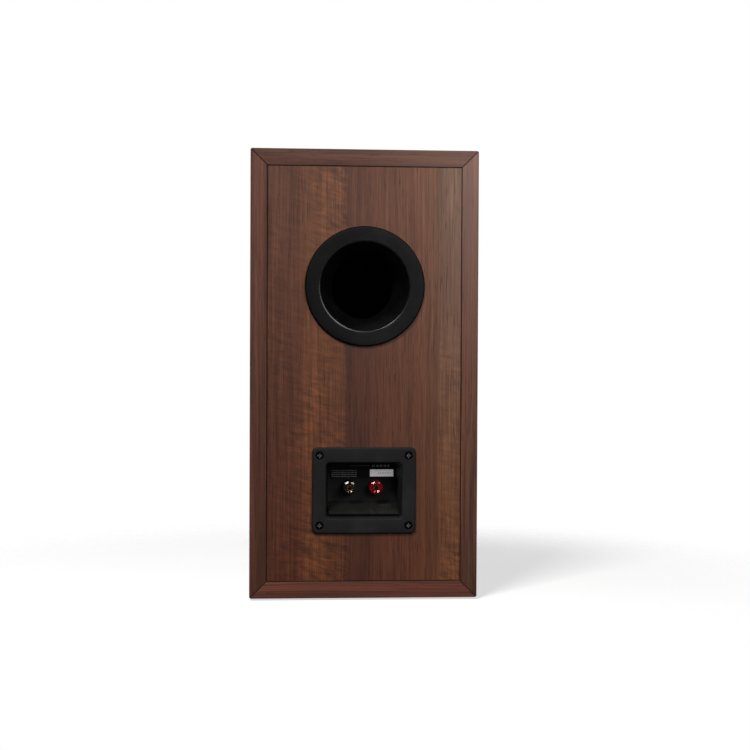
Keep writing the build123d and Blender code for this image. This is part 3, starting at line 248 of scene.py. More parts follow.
def rear_bands(look, point, seed):
    """Leaves of veneer side by side: reddish, a curly golden one and plain ones, with painted light making
    them lighter towards the top and a painted grey sheen at the upper right edge.
    """
    # Each stop's place is a share of the panel's width, from the viewer's left to the right.
    half = (PANEL_HI.x - PANEL_LO.x) / 2
    place = look.linear(look.axis(look.shifted(point, [-part for part in seed]), 0), half, -half)
    # The upper stops are lighter than the lower ones and grey at their right end: painted light from above
    # and a painted sheen; the changes across are the leaves' own colours.
    upper = (
        (0.00, srgb(92, 59, 46)),
        (0.15, srgb(90, 56, 43)),
        (0.20, srgb(112, 74, 53)),
        (0.37, srgb(106, 69, 51)),
        (0.405, srgb(102, 66, 50)),
        (0.42, srgb(88, 55, 44)),
        (0.55, srgb(100, 65, 53)),
        (0.74, srgb(106, 71, 57)),
        (0.79, srgb(115, 80, 64)),
        (0.84, srgb(113, 81, 66)),
        (0.865, srgb(104, 74, 63)),
        (0.89, srgb(120, 95, 85)),
        (1.00, srgb(121, 101, 94)),
    )
    lower = (
        (0.00, srgb(84, 47, 34)),
        (0.16, srgb(88, 49, 35)),
        (0.21, srgb(108, 66, 43)),
        (0.30, srgb(100, 60, 40)),
        (0.40, srgb(90, 53, 37)),
        (0.425, srgb(64, 36, 26)),
        (0.55, srgb(90, 52, 39)),
        (0.76, srgb(94, 55, 41)),
        (0.80, srgb(104, 64, 45)),
        (0.84, srgb(98, 59, 44)),
        (0.865, srgb(90, 54, 42)),
        (0.89, srgb(118, 78, 54)),
        (1.00, srgb(110, 72, 52)),
    )
    # Blending from the lower stops to the upper ones with height paints that light.
    height = look.axis(look.point(), 2)
    mixed = look.mix(
        look.smooth(height, PANEL_LO.z, PANEL_HI.z), look.ramp(place, lower), look.ramp(place, upper)
    )
    # Mottle: clouds of darker and more golden wood, longer than they are wide.
    clouds = look.noise(look.scaled(point, (34.0, 34.0, 13.0)), detail=3.0, distortion=0.6)
    mixed = tinge(look, mixed, look.linear(clouds, 0.3, 0.7, 0.90, 1.10))
    # Curl: short slanting ripples across the grain, in the golden leaf and low on the right edge.
    slanted = look.node("VectorRotate", {"Vector": point, "Axis": (0, 1, 0), "Angle": radians(16)})
    ripple = look.scaled(slanted, (62.0, 62.0, 230.0))
    ripple = look.noise(ripple, detail=3.0, roughness=0.6, distortion=0.5)
    patches = look.noise(look.scaled(point, (22.0, 22.0, 9.0)), detail=1.0)
    patches = look.smooth(patches, 0.36, 0.6, 0.35, 1.0)
    leaf = look.sum("MULTIPLY", look.smooth(place, 0.0, 0.18, 0.45, 1.0), look.smooth(place, 0.44, 0.40))
    edge = look.sum("MULTIPLY", look.smooth(place, 0.86, 0.90), look.smooth(height, 0.31, 0.12))
    curly = look.sum("MULTIPLY", look.sum("MAXIMUM", leaf, edge), patches)
    light = look.linear(ripple, 0.34, 0.66, 0.60, 1.45)
    mixed = look.mix(curly, mixed, tinge(look, mixed, light))
    return look.mix(1.0, mixed, (1.02, 0.86, 0.67, 1.0), "MULTIPLY")


def groove_shadow(look, mitres=False):
    """Dark line where the inset panel meets the boards, and where two boards meet."""
    point = look.point()
    middle_z = (PANEL_LO.z + PANEL_HI.z) / 2
    past_side = look.sum("SUBTRACT", look.sum("ABSOLUTE", look.axis(point, 0)), PANEL_HI.x)
    from_middle = look.sum("ABSOLUTE", look.sum("SUBTRACT", look.axis(point, 2), middle_z))
    past_end = look.sum("SUBTRACT", from_middle, PANEL_HI.z - middle_z)
    line = look.sum("ABSOLUTE", look.sum("MAXIMUM", past_side, past_end))
    dark = look.smooth(line, GROOVE_HALF * 0.3, GROOVE_HALF * 1.4, 0.8, 0.0)
    if mitres:
        corner = look.sum("GREATER_THAN", look.sum("MINIMUM", past_side, past_end), 0.0)
        diagonal = look.sum("ABSOLUTE", look.sum("SUBTRACT", past_side, past_end))
        diagonal = look.smooth(diagonal, 0.0003, 0.0010, 0.75, 0.0)
        dark = look.sum("MAXIMUM", dark, look.sum("MULTIPLY", corner, diagonal))
    look.set("Base_Color", look.mix(dark, look.base(), srgb(24, 14, 11)))


def moulded(name, colour, roughness=0.55, relief=0.00005, cell=1500.0):
    """Moulded plastic or cast paint with a fine spark texture and slightly rubbed patches."""
    look = Look(name, IOR=1.46)
    point = look.point()
    spark = look.noise(point, cell, detail=2.0, roughness=0.6)
    rubbed = look.noise(point, 24.0, detail=4.0, roughness=0.65)
    look.set("Base_Color", look.mix(look.smooth(rubbed, 0.45, 0.75), colour, times(colour, 1.5, 0.003)))
    look.set("Roughness", look.linear(rubbed, 0.3, 0.7, roughness - 0.07, roughness + 0.07))
    look.bump(spark, relief, 0.8)
    return look


def glossy(name, colour, roughness=0.14):
    """Polished moulding with faint smears and hair scratches."""
    look = Look(name, IOR=1.5)
    point = look.point()
    smear = look.noise(point, 60.0, detail=5.0, roughness=0.7)
    scratch = look.noise(look.scaled(point, (2400.0, 160.0, 300.0)), detail=1.0)
    look.set("Base_Color", look.mix(look.smooth(smear, 0.4, 0.8), colour, times(colour, 1.6)))
    look.set("Roughness", look.linear(smear, 0.3, 0.7, roughness * 0.7, roughness * 1.5))
    look.bump(scratch, 0.000012, 0.5)
    return look


def metal(name, colour, roughness=0.25, stretch=(400.0, 400.0, 400.0), relief=0.00001):
    """Plated or machined metal with fine tool lines and slight tarnish."""
    look = Look(name, Metallic=1.0)
    point = look.point()
    lines = look.noise(look.scaled(point, stretch), detail=3.0, roughness=0.6)
    tarnish = look.noise(point, 90.0, detail=4.0)
    look.set("Base_Color", look.mix(look.smooth(tarnish, 0.45, 0.8), colour, times(colour, 0.72)))
    look.set("Roughness", look.linear(lines, 0.3, 0.7, roughness * 0.7, roughness * 1.4))
    look.bump(lines, relief, 0.7)
    return look


def painted_light_slope(look, centre, reach):
    """Lightens a look towards the viewer's upper right and darkens it towards the lower left: painted light,
    as if it fell from that side.
    """
    off = look.shifted(look.point(), tuple(-part for part in centre))
    across = look.sum("MULTIPLY", look.axis(off, 0), -0.91)
    along = look.sum("MULTIPLY_ADD", look.axis(off, 2), 0.41, across)
    look.set("Base_Color", tinge(look, look.base(), look.linear(along, -reach, reach, 0.5, 1.5)))


def cross_glint(name, spots):
    """Black plated screws with painted highlights: bright glints painted in the driver crosses."""
    look = metal(name, srgb(30, 30, 34), 0.22)
    point = look.point()
    worn = None
    for x, z in spots:
        off_x = look.sum("ABSOLUTE", look.sum("SUBTRACT", look.axis(point, 0), x))
        off_z = look.sum("ABSOLUTE", look.sum("SUBTRACT", look.axis(point, 2), z))
        narrow = look.smooth(look.sum("MINIMUM", off_x, off_z), 0.0005, 0.0009, 1.0, 0.0)
        near = look.smooth(look.sum("MAXIMUM", off_x, off_z), 0.0016, 0.0026, 1.0, 0.0)
        cross = look.sum("MULTIPLY", narrow, near)
        worn = cross if worn is None else look.sum("MAXIMUM", worn, cross)
    # The cross masks, broken up by flecks, are painted bright: painted highlights where the recess would
    # catch the light.
    flecks = look.smooth(look.noise(point, 1500.0, detail=2.0), 0.36, 0.56)
    look.set("Base_Color", look.mix(look.sum("MULTIPLY", worn, flecks), look.base(), srgb(214, 216, 222)))
    return look


def tinted(name, colour, depth=0.75):
    """Clear tinted moulding of the post caps, with flow marks."""
    look = Look(name, IOR=1.49, Transmission_Weight=depth)
    point = look.point()
    flow = look.noise(look.scaled(point, (500.0, 120.0, 500.0)), detail=2.0)
    look.set("Base_Color", look.mix(look.smooth(flow, 0.35, 0.7), colour, times(colour, 0.6)))
    look.set("Roughness", look.linear(flow, 0.3, 0.7, 0.03, 0.10))
    look.bump(flow, 0.000004, 0.5)
    return look


def woven(name, dark, light, pitch, roughness=0.45, relief=0.00008):
    """Plain weave of two yarns, one across X and one across Z."""
    look = Look(name, Specular_IOR_Level=0.4)
    point = look.point()
    waves = []
    for index in (0, 2):
        turn = look.sum("MULTIPLY", look.axis(point, index), 2 * pi / pitch)
        waves.append(look.sum("SINE", turn))
    cross = look.sum("MULTIPLY", *waves)
    over = look.smooth(cross, -0.5, 0.5)
    fuzz = look.noise(point, 1400.0, detail=2.0)
    shade = look.sum("MULTIPLY_ADD", fuzz, 0.3, look.sum("MULTIPLY", over, 0.7))
    look.set("Base_Color", look.mix(shade, dark, light))
    look.set("Roughness", look.linear(over, 0.0, 1.0, roughness - 0.08, roughness + 0.1))
    look.bump(shade, relief, 0.8)
    return look


def rubbery(name, colour, roughness=0.6):
    look = moulded(name, colour, roughness, 0.00003, 900.0)
    look.set("Sheen_Weight", 0.15)
    look.set("Sheen_Roughness", 0.5)
    return look


def wound(name, colour, pitch, axis):
    """Enamelled wire laid turn beside turn along an axis."""
    look = Look(name, Metallic=0.85)
    point = look.point()
    turns = look.sum("SINE", look.sum("MULTIPLY", look.axis(point, axis), 2 * pi / pitch))
    stain = look.noise(point, 120.0, detail=3.0)
    # Painted shade: half of each turn is darkened, as the shaded side of a round wire between its neighbours;
    # the stain is the wire's own.
    shade = look.sum("MULTIPLY_ADD", stain, 0.5, look.smooth(turns, -1.0, 0.2, 0.0, 0.6))
    look.set("Base_Color", look.mix(shade, times(colour, 0.5), colour))
    look.set("Roughness", look.linear(stain, 0.3, 0.7, 0.2, 0.36))
    look.bump(turns, pitch * 0.25, 0.8)
    return look


def board_stock(name, colour, along=None):
    """Raw fibreboard, or softwood where the grain runs along an axis."""
    look = Look(name, Roughness=0.75)
    point = look.point()
    factors = [380.0] * 3
    if along is not None:
        factors[along] = 14.0
    chips = look.noise(look.scaled(point, factors), detail=4.0, roughness=0.7)
    look.set("Base_Color", look.mix(look.smooth(chips, 0.35, 0.7), times(colour, 0.6), colour))
    look.bump(chips, 0.0001, 0.7)
    return look


def printed(name, back, ink, marks):
    """Film or sticker with plain bars, each (x, z, half width, half height, dash, strength)."""
    look = Look(name, Roughness=0.32)
    point = look.point()
    grain = look.noise(point, 2600.0, detail=2.0)
    mask = None
    for x, z, half_w, half_h, dash, strength in marks:
        off_x = look.sum("SUBTRACT", look.axis(point, 0), x)
        off_z = look.sum("SUBTRACT", look.axis(point, 2), z)
        inside = look.sum("LESS_THAN", look.sum("ABSOLUTE", off_x), half_w)
        inside = look.sum("MULTIPLY", inside, look.sum("LESS_THAN", look.sum("ABSOLUTE", off_z), half_h))
        if dash:
            beat = look.noise(look.scaled(point, (1 / dash, 0.0, 0.0)), detail=0.0)
            inside = look.sum("MULTIPLY", inside, look.sum("GREATER_THAN", beat, 0.42))
        inside = look.sum("MULTIPLY", inside, strength)
        mask = inside if mask is None else look.sum("MAXIMUM", mask, inside)
    worn = look.sum("MULTIPLY", mask, look.linear(grain, 0.3, 0.7, 0.75, 1.0))
    look.set("Base_Color", look.mix(worn, back, ink))
    look.bump(grain, 0.00001, 0.4)
    return look


def doped_silk(name, colour):
    """Doped silk: a very fine weave under a tacky coat."""
    look = woven(name, colour, times(colour, 1.7), 0.0006, 0.42, relief=0.00003)
    look.set("Coat_Weight", 0.3)
    look.set("Coat_Roughness", 0.35)
    return look


# ---- Mesh helpers ----------------------------------------------------------------------------
def mesh_of(name, build, angle=35.0):
    """Makes a smooth-shaded mesh from a function that fills a bmesh."""
    work = bmesh.new()
    build(work)
    bmesh.ops.remove_doubles(work, verts=work.verts, dist=1e-7)
    bmesh.ops.recalc_face_normals(work, faces=work.faces)
    mesh = bpy.data.meshes.new(name)
    work.to_mesh(mesh)
    work.free()
    mesh.polygons.foreach_set("use_smooth", [True] * len(mesh.polygons))
    mesh.set_sharp_from_angle(angle=radians(angle))
    return mesh


def add_piece(name, mesh, body, look, hides=()):
    """Places a mesh in the scene, riding on a body, in place of the CAD nodes it stands for."""
    piece = bpy.data.objects.new(name, mesh)
    bpy.context.scene.collection.objects.link(piece)
    mesh.materials.clear()
    looks = look if isinstance(look, (list, tuple)) else [look]
    for each in looks:
        mesh.materials.append(each.material)
    if body:
        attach(piece, body)
    if hides:
        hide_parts(*hides)
    return piece


def lathe(profile, centre, facing=1, steps=96, closed=True, wobble=None):
    """Revolves (radius, height) points about an axis along Y; facing is +1 to the rear."""

    def build(work):
        rings = []
        for radius, height in profile:
            ring = []
            for i in range(steps):
                angle = 2 * pi * i / steps
                reach = radius + (wobble(angle, radius, height) if wobble else 0.0)
                spot = (
                    centre[0] + reach * cos(angle),
                    centre[1] + facing * height,
                    centre[2] + reach * sin(angle),
                )
                ring.append(work.verts.new(spot))
            rings.append(ring)
        pairs = list(zip(rings, rings[1:]))
        if closed:
            pairs.append((rings[-1], rings[0]))
        for low, high in pairs:
            for i in range(steps):
                j = (i + 1) % steps
                corners = [low[i], low[j], high[j], high[i]]
                work.faces.new(corners)

    return build


def arc(centre_r, centre_h, radius, start, end, count=6):
    """Points (radius, height) of an arc, angles in degrees from the outward direction."""
    points = []
    for i in range(count + 1):
        angle = radians(start + (end - start) * i / count)
        points.append((centre_r + radius * cos(angle), centre_h + radius * sin(angle)))
    return points


def bowed(start, end, sagitta, count=10):
    """Points of an arc from start to end, bulging by sagitta to the left of the way, or right if negative."""
    (r0, h0), (r1, h1) = start, end
    chord = sqrt((r1 - r0) ** 2 + (h1 - h0) ** 2)
    rise = abs(sagitta)
    side = 1 if sagitta > 0 else -1
    radius = (chord**2 / 4 + rise**2) / (2 * rise)
    half_turn = atan2(chord / 2, radius - rise)
    points = []
    for i in range(count + 1):
        turn = half_turn * (2 * i / count - 1)
        along = chord / 2 + radius * sin(turn)
        aside = side * (radius * cos(turn) - radius + rise)
        points.append((
            r0 + ((r1 - r0) * along - (h1 - h0) * aside) / chord,
            h0 + ((h1 - h0) * along + (r1 - r0) * aside) / chord,
        ))
    return points


def domed(radius, top, foot, count=12):
    """Points of a spherical cap's profile, from its middle out to its edge."""
    rise = top - foot
    ball = (radius**2 + rise**2) / (2 * rise)
    widest = atan2(radius, ball - rise)
    turns = [widest * i / count for i in range(count + 1)]
    return [(ball * sin(turn), top - ball * (1 - cos(turn))) for turn in turns]


def carve(mesh, build, angle):
    """Cuts out of a mesh the solids that a function fills a bmesh with."""
    whole = bpy.data.objects.new("whole", mesh)
    tool = bpy.data.objects.new("tool", mesh_of("tool", build))
    for each in (whole, tool):
        bpy.context.scene.collection.objects.link(each)
    cutting = whole.modifiers.new("cut", "BOOLEAN")
    cutting.operation = "DIFFERENCE"
    cutting.solver = "EXACT"
    cutting.object = tool
    result = bpy.data.meshes.new_from_object(whole.evaluated_get(bpy.context.evaluated_depsgraph_get()))
    for each in (whole, tool):
        bpy.data.objects.remove(each)
    result.polygons.foreach_set("use_smooth", [True] * len(result.polygons))
    result.set_sharp_from_angle(angle=radians(angle))
    return result


def blend_round(piece, centre, outer, inner):
    """Bakes a ring's placement into its mesh and reckons, for each vertex, its share of the way from the
    outer radius to the inner one; nothing keeps that share.
    """
    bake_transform(piece)
    for vertex in piece.data.vertices:
        off = vertex.co - centre
        part = (outer - sqrt(off.x**2 + off.z**2)) / (outer - inner)
        part = max(0.0, min(1.0, part))


def rounded_loop(half_w, half_h, corner, centre_z, y):
    """Corner-rounded rectangle in a plane across Y, centred on the cup."""
    count = 8
    points = []
    for quarter in range(4):
        sign_x = (1, -1, -1, 1)[quarter]
        sign_z = (1, 1, -1, -1)[quarter]
        for i in range(count + 1):
            angle = radians(90 * quarter + 90 * i / count)
            x = sign_x * (half_w - corner) + corner * cos(angle)
            z = centre_z + sign_z * (half_h - corner) + corner * sin(angle)
            points.append((CUP.x + x, y, z))
    return points


def loft(loops, marks):
    """Skins a stack of loops and closes its ends; marks are the material indices of the steps between."""

    def build(work):
        rings = [[work.verts.new(point) for point in loop] for loop in loops]
        count = len(rings[0])
        for step, (low, high) in enumerate(zip(rings, rings[1:])):
            for i in range(count):
                j = (i + 1) % count
                face = work.faces.new([low[i], low[j], high[j], high[i]])
                face.material_index = marks[step]
        work.faces.new(rings[0]).material_index = marks[0]
        work.faces.new(rings[-1]).material_index = marks[-1]

    return build


# ---- Assign materials to the CAD nodes that keep their shape ---------------------------------
def dress(look, *names):
    for name in names:
        data = NODES[name].data
        data.materials.clear()
        data.materials.append(look.material)


rear_walnut = walnut("walnut_rear", 2, WALNUT, (0.31, 0.12, 0.4), rear_bands, streaky=0.6)
groove_shadow(rear_walnut)
dress(rear_walnut, "rear_panel")
# Each board's material name, axis of its grain, tones, seed and rise, the painted light that lightens one end
# of the board and lays a painted grey sheen over it.
BOARDS = {
    "left_side_panel": ("walnut_side_0", 2, WALNUT, (0.7, 0.35, 0.2), (2, 0.0, TOP_Z, 0.58, 1.55, 0.24)),
    "right_side_panel": ("walnut_side_1", 2, WALNUT, (1.6, 0.35, 1.2), (2, 0.0, TOP_Z, 0.9, 1.05, 0.0)),
    "top_panel": (
        "walnut_end_0", 0, WALNUT, (0.2, 1.4, 0.6), (0, PANEL_HI.x, PANEL_LO.x, 0.78, 1.02, 0.11)
    ),
    "bottom_panel": ("walnut_end_1", 0, PALE_WALNUT, (1.2, 1.4, 1.3), None),
}
for node, (name, along, tones, seed, rise) in BOARDS.items():
    board_walnut = walnut(name, along, tones, seed, streaky=1.3, rise=rise)
    groove_shadow(board_walnut, mitres=True)
    dress(board_walnut, node)

flange_black = moulded("spark_textured_black", srgb(29, 29, 30), 0.62, 0.00006, 1100.0)
flange_black.set("Specular_IOR_Level", 0.2)
well_black = glossy("well_gloss_black", srgb(3, 3, 3), 0.12)
well_black.set("Specular_IOR_Level", 0.2)
ledge_black = moulded("ledge_satin_black", srgb(32, 32, 30), 0.17, 0.000002, 300.0)
port_black = moulded("port_black", srgb(15, 15, 16), 0.5, 0.00003, 1300.0)
port_black.set("Specular_IOR_Level", 0.16)
# The port ring is painted lighter towards the upper right and darker towards the lower left: painted light.
painted_light_slope(port_black, PORT, 0.05)
lip_black = glossy("port_lip_gloss", srgb(18, 18, 19), 0.24)
# The flange's rounded outer edge is near black, darker than the ring's plastic: a painted shaded outline.
edge_painted_shade = moulded("port_edge_black", srgb(4, 4, 4), 0.6, 0.00002, 1300.0)
edge_painted_shade.set("Specular_IOR_Level", 0.1)
# The port's inside is near black, darker than its ring: painted shade deep in the tube.
throat_painted_shade = moulded("throat_painted_shade", srgb(3, 3, 3), 0.6, 0.00003, 1300.0)
throat_painted_shade.set("Specular_IOR_Level", 0.12)
# The tweeter's magnet and yoke, seen down the port, are kept near black: painted shade inside the cabinet.
tweeter_motor_shade = moulded("motor_painted_shade", srgb(9, 9, 10), 0.6, 0.00005, 900.0)
gold = metal("gold_plate", srgb(232, 190, 118), 0.18, (900.0, 200.0, 900.0))
# The studs' gold is darkened: painted shade deep in the caps' bores.
shaded_gold = metal("gold_plate_painted_shade", srgb(150, 106, 56), 0.3, (900.0, 200.0, 900.0))
zinc = metal("zinc_plate", srgb(182, 184, 186), 0.3)
black_zinc = metal("black_zinc", srgb(40, 40, 43), 0.32)
clear_black = tinted("smoke_cap", srgb(52, 44, 34), 0.6)
clear_red = tinted("red_cap", srgb(200, 8, 30), 0.6)
body_red = glossy("red_insulator", srgb(150, 14, 24), 0.2)
body_black = glossy("black_insulator", srgb(14, 14, 15), 0.2)
nylon = moulded("nylon", srgb(206, 204, 196), 0.5)
foam = moulded("gasket_foam", srgb(28, 28, 29), 0.85, 0.0002, 1600.0)
foot_rubber = rubbery("foot_rubber", srgb(22, 22, 23))
socket_rubber = rubbery("socket_rubber", srgb(20, 20, 21))
baffle_black = moulded("baffle_satin_black", srgb(26, 26, 27), 0.42, 0.00003, 700.0)
frame_black = moulded("frame_powder_coat", srgb(30, 30, 32), 0.48, 0.00008, 900.0)
trim_black = moulded("trim_satin_black", srgb(20, 20, 21), 0.34, 0.00002, 1500.0)
cone_look = woven("woven_cone", srgb(14, 14, 15), srgb(52, 52, 56), 0.0032, 0.36)
dust_look = glossy("dust_cap_gloss", srgb(18, 18, 20), 0.2)
silk = doped_silk("doped_silk", srgb(24, 24, 27))
roll_rubber = rubbery("surround_rubber", srgb(24, 24, 25), 0.5)
copper = wound("copper_turns", srgb(196, 112, 62), 0.0007, 2)
coil_copper = wound("voice_coil_turns", srgb(196, 112, 62), 0.0004, 1)
foil = metal("former_foil", srgb(196, 198, 202), 0.25)
steel = metal("plate_steel", srgb(160, 161, 164), 0.34)
ferrite = moulded("ferrite", srgb(48, 48, 50), 0.72, 0.00012, 700.0)
spider_cloth = woven("spider_cloth", srgb(120, 84, 34), srgb(196, 156, 84), 0.0009, 0.7)
fibreboard = board_stock("fibreboard", srgb(158, 124, 88))
pine = board_stock("pine", srgb(206, 170, 122), 2)
phenolic = moulded("phenolic_board", srgb(104, 66, 36), 0.5)
solder_mask = moulded("circuit_board", srgb(30, 82, 48), 0.35, 0.00002, 400.0)
film_can = glossy("film_capacitor", srgb(150, 38, 30), 0.25)
cement = moulded("cement", srgb(212, 208, 198), 0.85, 0.00015, 1000.0)
tinned = metal("tinned_tab", srgb(204, 202, 196), 0.28)
wire_red = glossy("wire_red", srgb(168, 22, 26), 0.35)
wire_black = glossy("wire_black", srgb(20, 20, 20), 0.35)
fleece = board_stock("polyester_fleece", srgb(226, 224, 216))
faceplate_black = moulded("faceplate_satin", srgb(25, 25, 26), 0.38, 0.00003, 1200.0)

dress(throat_painted_shade, "port_tube", "port_inner_flare")
dress(foam, "terminal_cup_gasket", "woofer_gasket", "tweeter_gasket")
dress(black_zinc, "woofer_screws", "tweeter_screws")
dress(cross_glint("cup_screw_zinc", SCREW_SPOTS), "terminal_cup_screws")
dress(gold, *(f"{side}_post_sleeve" for side in POSTS))
dress(shaded_gold, *(f"{side}_post_stud" for side in POSTS))
dress(body_black, "black_post_base")
dress(body_red, "red_post_base")
dress(nylon, "post_washers", "crossover_standoffs")
dress(zinc, "post_nuts", "crossover_screws")
dress(tinned, "solder_lugs", "driver_tabs")
dress(baffle_black, "front_baffle")
dress(fibreboard, "window_brace")
dress(pine, "corner_blocks")
dress(frame_black, "woofer_frame")
dress(trim_black, "woofer_trim_ring")
dress(cone_look, "woofer_cone")
dress(dust_look, "woofer_dust_cap")
dress(foil, "voice_coil_former")
dress(coil_copper, "voice_coil")
dress(steel, "woofer_top_plate", "woofer_yoke", "tweeter_top_plate")
dress(tweeter_motor_shade, "tweeter_yoke", "tweeter_magnet")
dress(ferrite, "woofer_magnet")
dress(phenolic, "woofer_terminal_block")
dress(faceplate_black, "tweeter_faceplate")
dress(silk, "tweeter_dome", "tweeter_surround")
dress(spider_cloth, "woofer_spider")
dress(roll_rubber, "woofer_surround")
dress(solder_mask, "crossover_board")
dress(copper, "crossover_coils")
dress(film_can, "crossover_capacitors")
dress(cement, "crossover_resistors")
dress(wire_red, "leads_red")
dress(wire_black, "leads_black")
dress(fleece, "acoustic_wadding")
dress(foot_rubber, "rubber_feet")
dress(socket_rubber, "grille_sockets")
dress(clear_black, "black_post_cap")
dress(clear_red, "red_post_cap")

# ---- Terminal cup ----------------------------------------------------------------------------
CUP_LO, CUP_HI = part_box("terminal_cup")
FLANGE_HALF = ((CUP_HI.x - CUP_LO.x) / 2, (CUP_HI.z - CUP_LO.z) / 2)
FLANGE_FACE = CUP_HI.y
FLANGE_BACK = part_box("terminal_cup_gasket")[1].y
FLANGE_CORNER = 0.0046
FLANGE_EDGE = 0.0018
WELL_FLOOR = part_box("terminal_label")[0].y
MOUTH_HALF = (0.0357, 0.0262)
MOUTH_LIP = 0.0020
FLOOR_HALF = (0.0330, 0.0191)
FLOOR_Z = CUP.z + 0.0053
LEDGE_HALF = 0.0332
SHELL = 0.002
SCREW_DISH_R = 0.0042
SCREW_DISH_DEPTH = 0.0020


def cup_loops():
    """Loops from the back of the well, over the flange and down to the well's floor."""
    loops = []
    marks = []

    def add(half_w, half_h, corner, centre_z, y, mark):
        loops.append(rounded_loop(half_w, half_h, corner, centre_z, y))
        marks.append(mark)

    add(FLOOR_HALF[0] + SHELL, FLOOR_HALF[1] + SHELL, 0.004, FLOOR_Z, CUP_LO.y, 1)
    add(MOUTH_HALF[0] + SHELL, MOUTH_HALF[1] + SHELL, 0.005, CUP.z, FLANGE_BACK, 1)
    add(*FLANGE_HALF, FLANGE_CORNER, CUP.z, FLANGE_BACK, 0)
    for out, up in arc(0.0, 0.0, FLANGE_EDGE, 0, 90, 6):
        drop = FLANGE_EDGE - out
        corner = FLANGE_CORNER - drop * 0.5
        add(FLANGE_HALF[0] - drop, FLANGE_HALF[1] - drop, corner, CUP.z, FLANGE_FACE - FLANGE_EDGE + up, 0)
    for out, up in arc(0.0, 0.0, MOUTH_LIP, 90, 0, 7):
        wider = (MOUTH_LIP - out) * 0.8
        corner = 0.0036 + wider * 0.5
        add(MOUTH_HALF[0] + wider, MOUTH_HALF[1] + wider, corner, CUP.z, FLANGE_FACE - MOUTH_LIP + up, 0)
    for part in (0.1, 0.5, 0.9):
        rest = 1 - part
        add(
            MOUTH_HALF[0] * rest + FLOOR_HALF[0] * part,
            MOUTH_HALF[1] * rest + FLOOR_HALF[1] * part,
            0.0036 * rest + 0.0026 * part,
            CUP.z * rest + FLOOR_Z * part,
            (FLANGE_FACE - MOUTH_LIP) * rest + WELL_FLOOR * part,
            1,
        )
    for inset, up in ((0.0, 0.0012), (0.0003, 0.0004), (0.0012, 0.0)):
        add(FLOOR_HALF[0] - inset, FLOOR_HALF[1] - inset, 0.0026, FLOOR_Z, WELL_FLOOR + up, 1)
    return loops, marks[1:]


def screw_dishes(work):
    """Countersunk holes through the flange, one for each screw."""
    for x, z in SCREW_SPOTS:
        dish = [
            (0.0, FLANGE_FACE + 0.001),
            (SCREW_DISH_R + 0.001, FLANGE_FACE + 0.001),
            (SCREW_DISH_R - SCREW_DISH_DEPTH, FLANGE_FACE - SCREW_DISH_DEPTH),
            (SCREW_DISH_R - SCREW_DISH_DEPTH, FLANGE_BACK - 0.002),
            (0.0, FLANGE_BACK - 0.002),
        ]
        lathe(dish, (x, 0.0, z), steps=40, closed=False)(work)


def well_ledge(work):
    """Raised bed along the bottom of the well, with a groove in front of it."""
    bottom = CUP.z - MOUTH_HALF[1]
    floor_low = FLOOR_Z - FLOOR_HALF[1]
    outline = [
        (FLANGE_FACE - 0.0056, bottom + 0.0020),
        (FLANGE_FACE - 0.0032, bottom + 0.0036),
        (FLANGE_FACE - 0.0029, bottom + 0.0039),
        (FLANGE_FACE - 0.0029, bottom + 0.0043),
        (FLANGE_FACE - 0.0033, bottom + 0.0046),
        (WELL_FLOOR + 0.0006, floor_low + 0.0008),
        (WELL_FLOOR + 0.0002, floor_low + 0.0014),
        (WELL_FLOOR - 0.0004, floor_low + 0.0014),
        (WELL_FLOOR - 0.0004, floor_low - 0.0006),
    ]
    rings = []
    for side in (-1, 1):
        ring = []
        for y, z in outline:
            ring.append(work.verts.new((CUP.x + side * LEDGE_HALF, y, z)))
        rings.append(ring)
        work.faces.new(ring)
    count = len(outline)
    for i in range(count):
        j = (i + 1) % count
        work.faces.new([rings[0][i], rings[0][j], rings[1][j], rings[1][i]])


loops, marks = cup_loops()
cup_mesh = carve(mesh_of("cup_shell", loft(loops, marks)), screw_dishes, 40.0)
add_piece("cup_shell", cup_mesh, "cabinet", [flange_black, well_black], ["terminal_cup"])
add_piece("cup_ledge", mesh_of("cup_ledge", well_ledge, 50.0), "cabinet", ledge_black)

LABEL = middle("terminal_label")
STICKER = middle("serial_sticker")
TITLE_Z = LABEL.z + 0.0054
LINE_PITCH = 0.0019
# Bars stand for the print: lines of small print, a title, a rule and the sticker's figures.
text_lines = []
for i in range(4):
    line_spot = (0.0172 - (i % 2) * 0.0006, LABEL.z + 0.0008 - i * LINE_PITCH)
    text_lines.append((*line_spot, 0.0122, 0.0005, 0.0007, 0.4))
title_bars = [(-0.0185 + i * 0.0036, TITLE_Z, 0.0013, 0.0011, 0.0011, 1.0) for i in range(-2, 3)]
rules = [(0.002, TITLE_Z, 0.0095, 0.00025, 0.0, 0.45)]
film = printed("printed_film", srgb(4, 4, 4), srgb(210, 210, 210), text_lines + title_bars + rules)
film.set("Specular_IOR_Level", 0.2)
figures = [(STICKER.x - 0.002 - i * 0.0016, STICKER.z, 0.0006, 0.0009, 0.0, 1.0) for i in range(-3, 5)]
sticker = printed("serial_sticker", srgb(250, 250, 249), srgb(90, 90, 92), figures)
# The sticker glows a little: painted light, standing in for the glare of the lamps on its white face.
sticker.set("Emission_Color", (1.0, 1.0, 1.0, 1.0))
sticker.set("Emission_Strength", 0.2)
dress(film, "terminal_label")
dress(sticker, "serial_sticker")

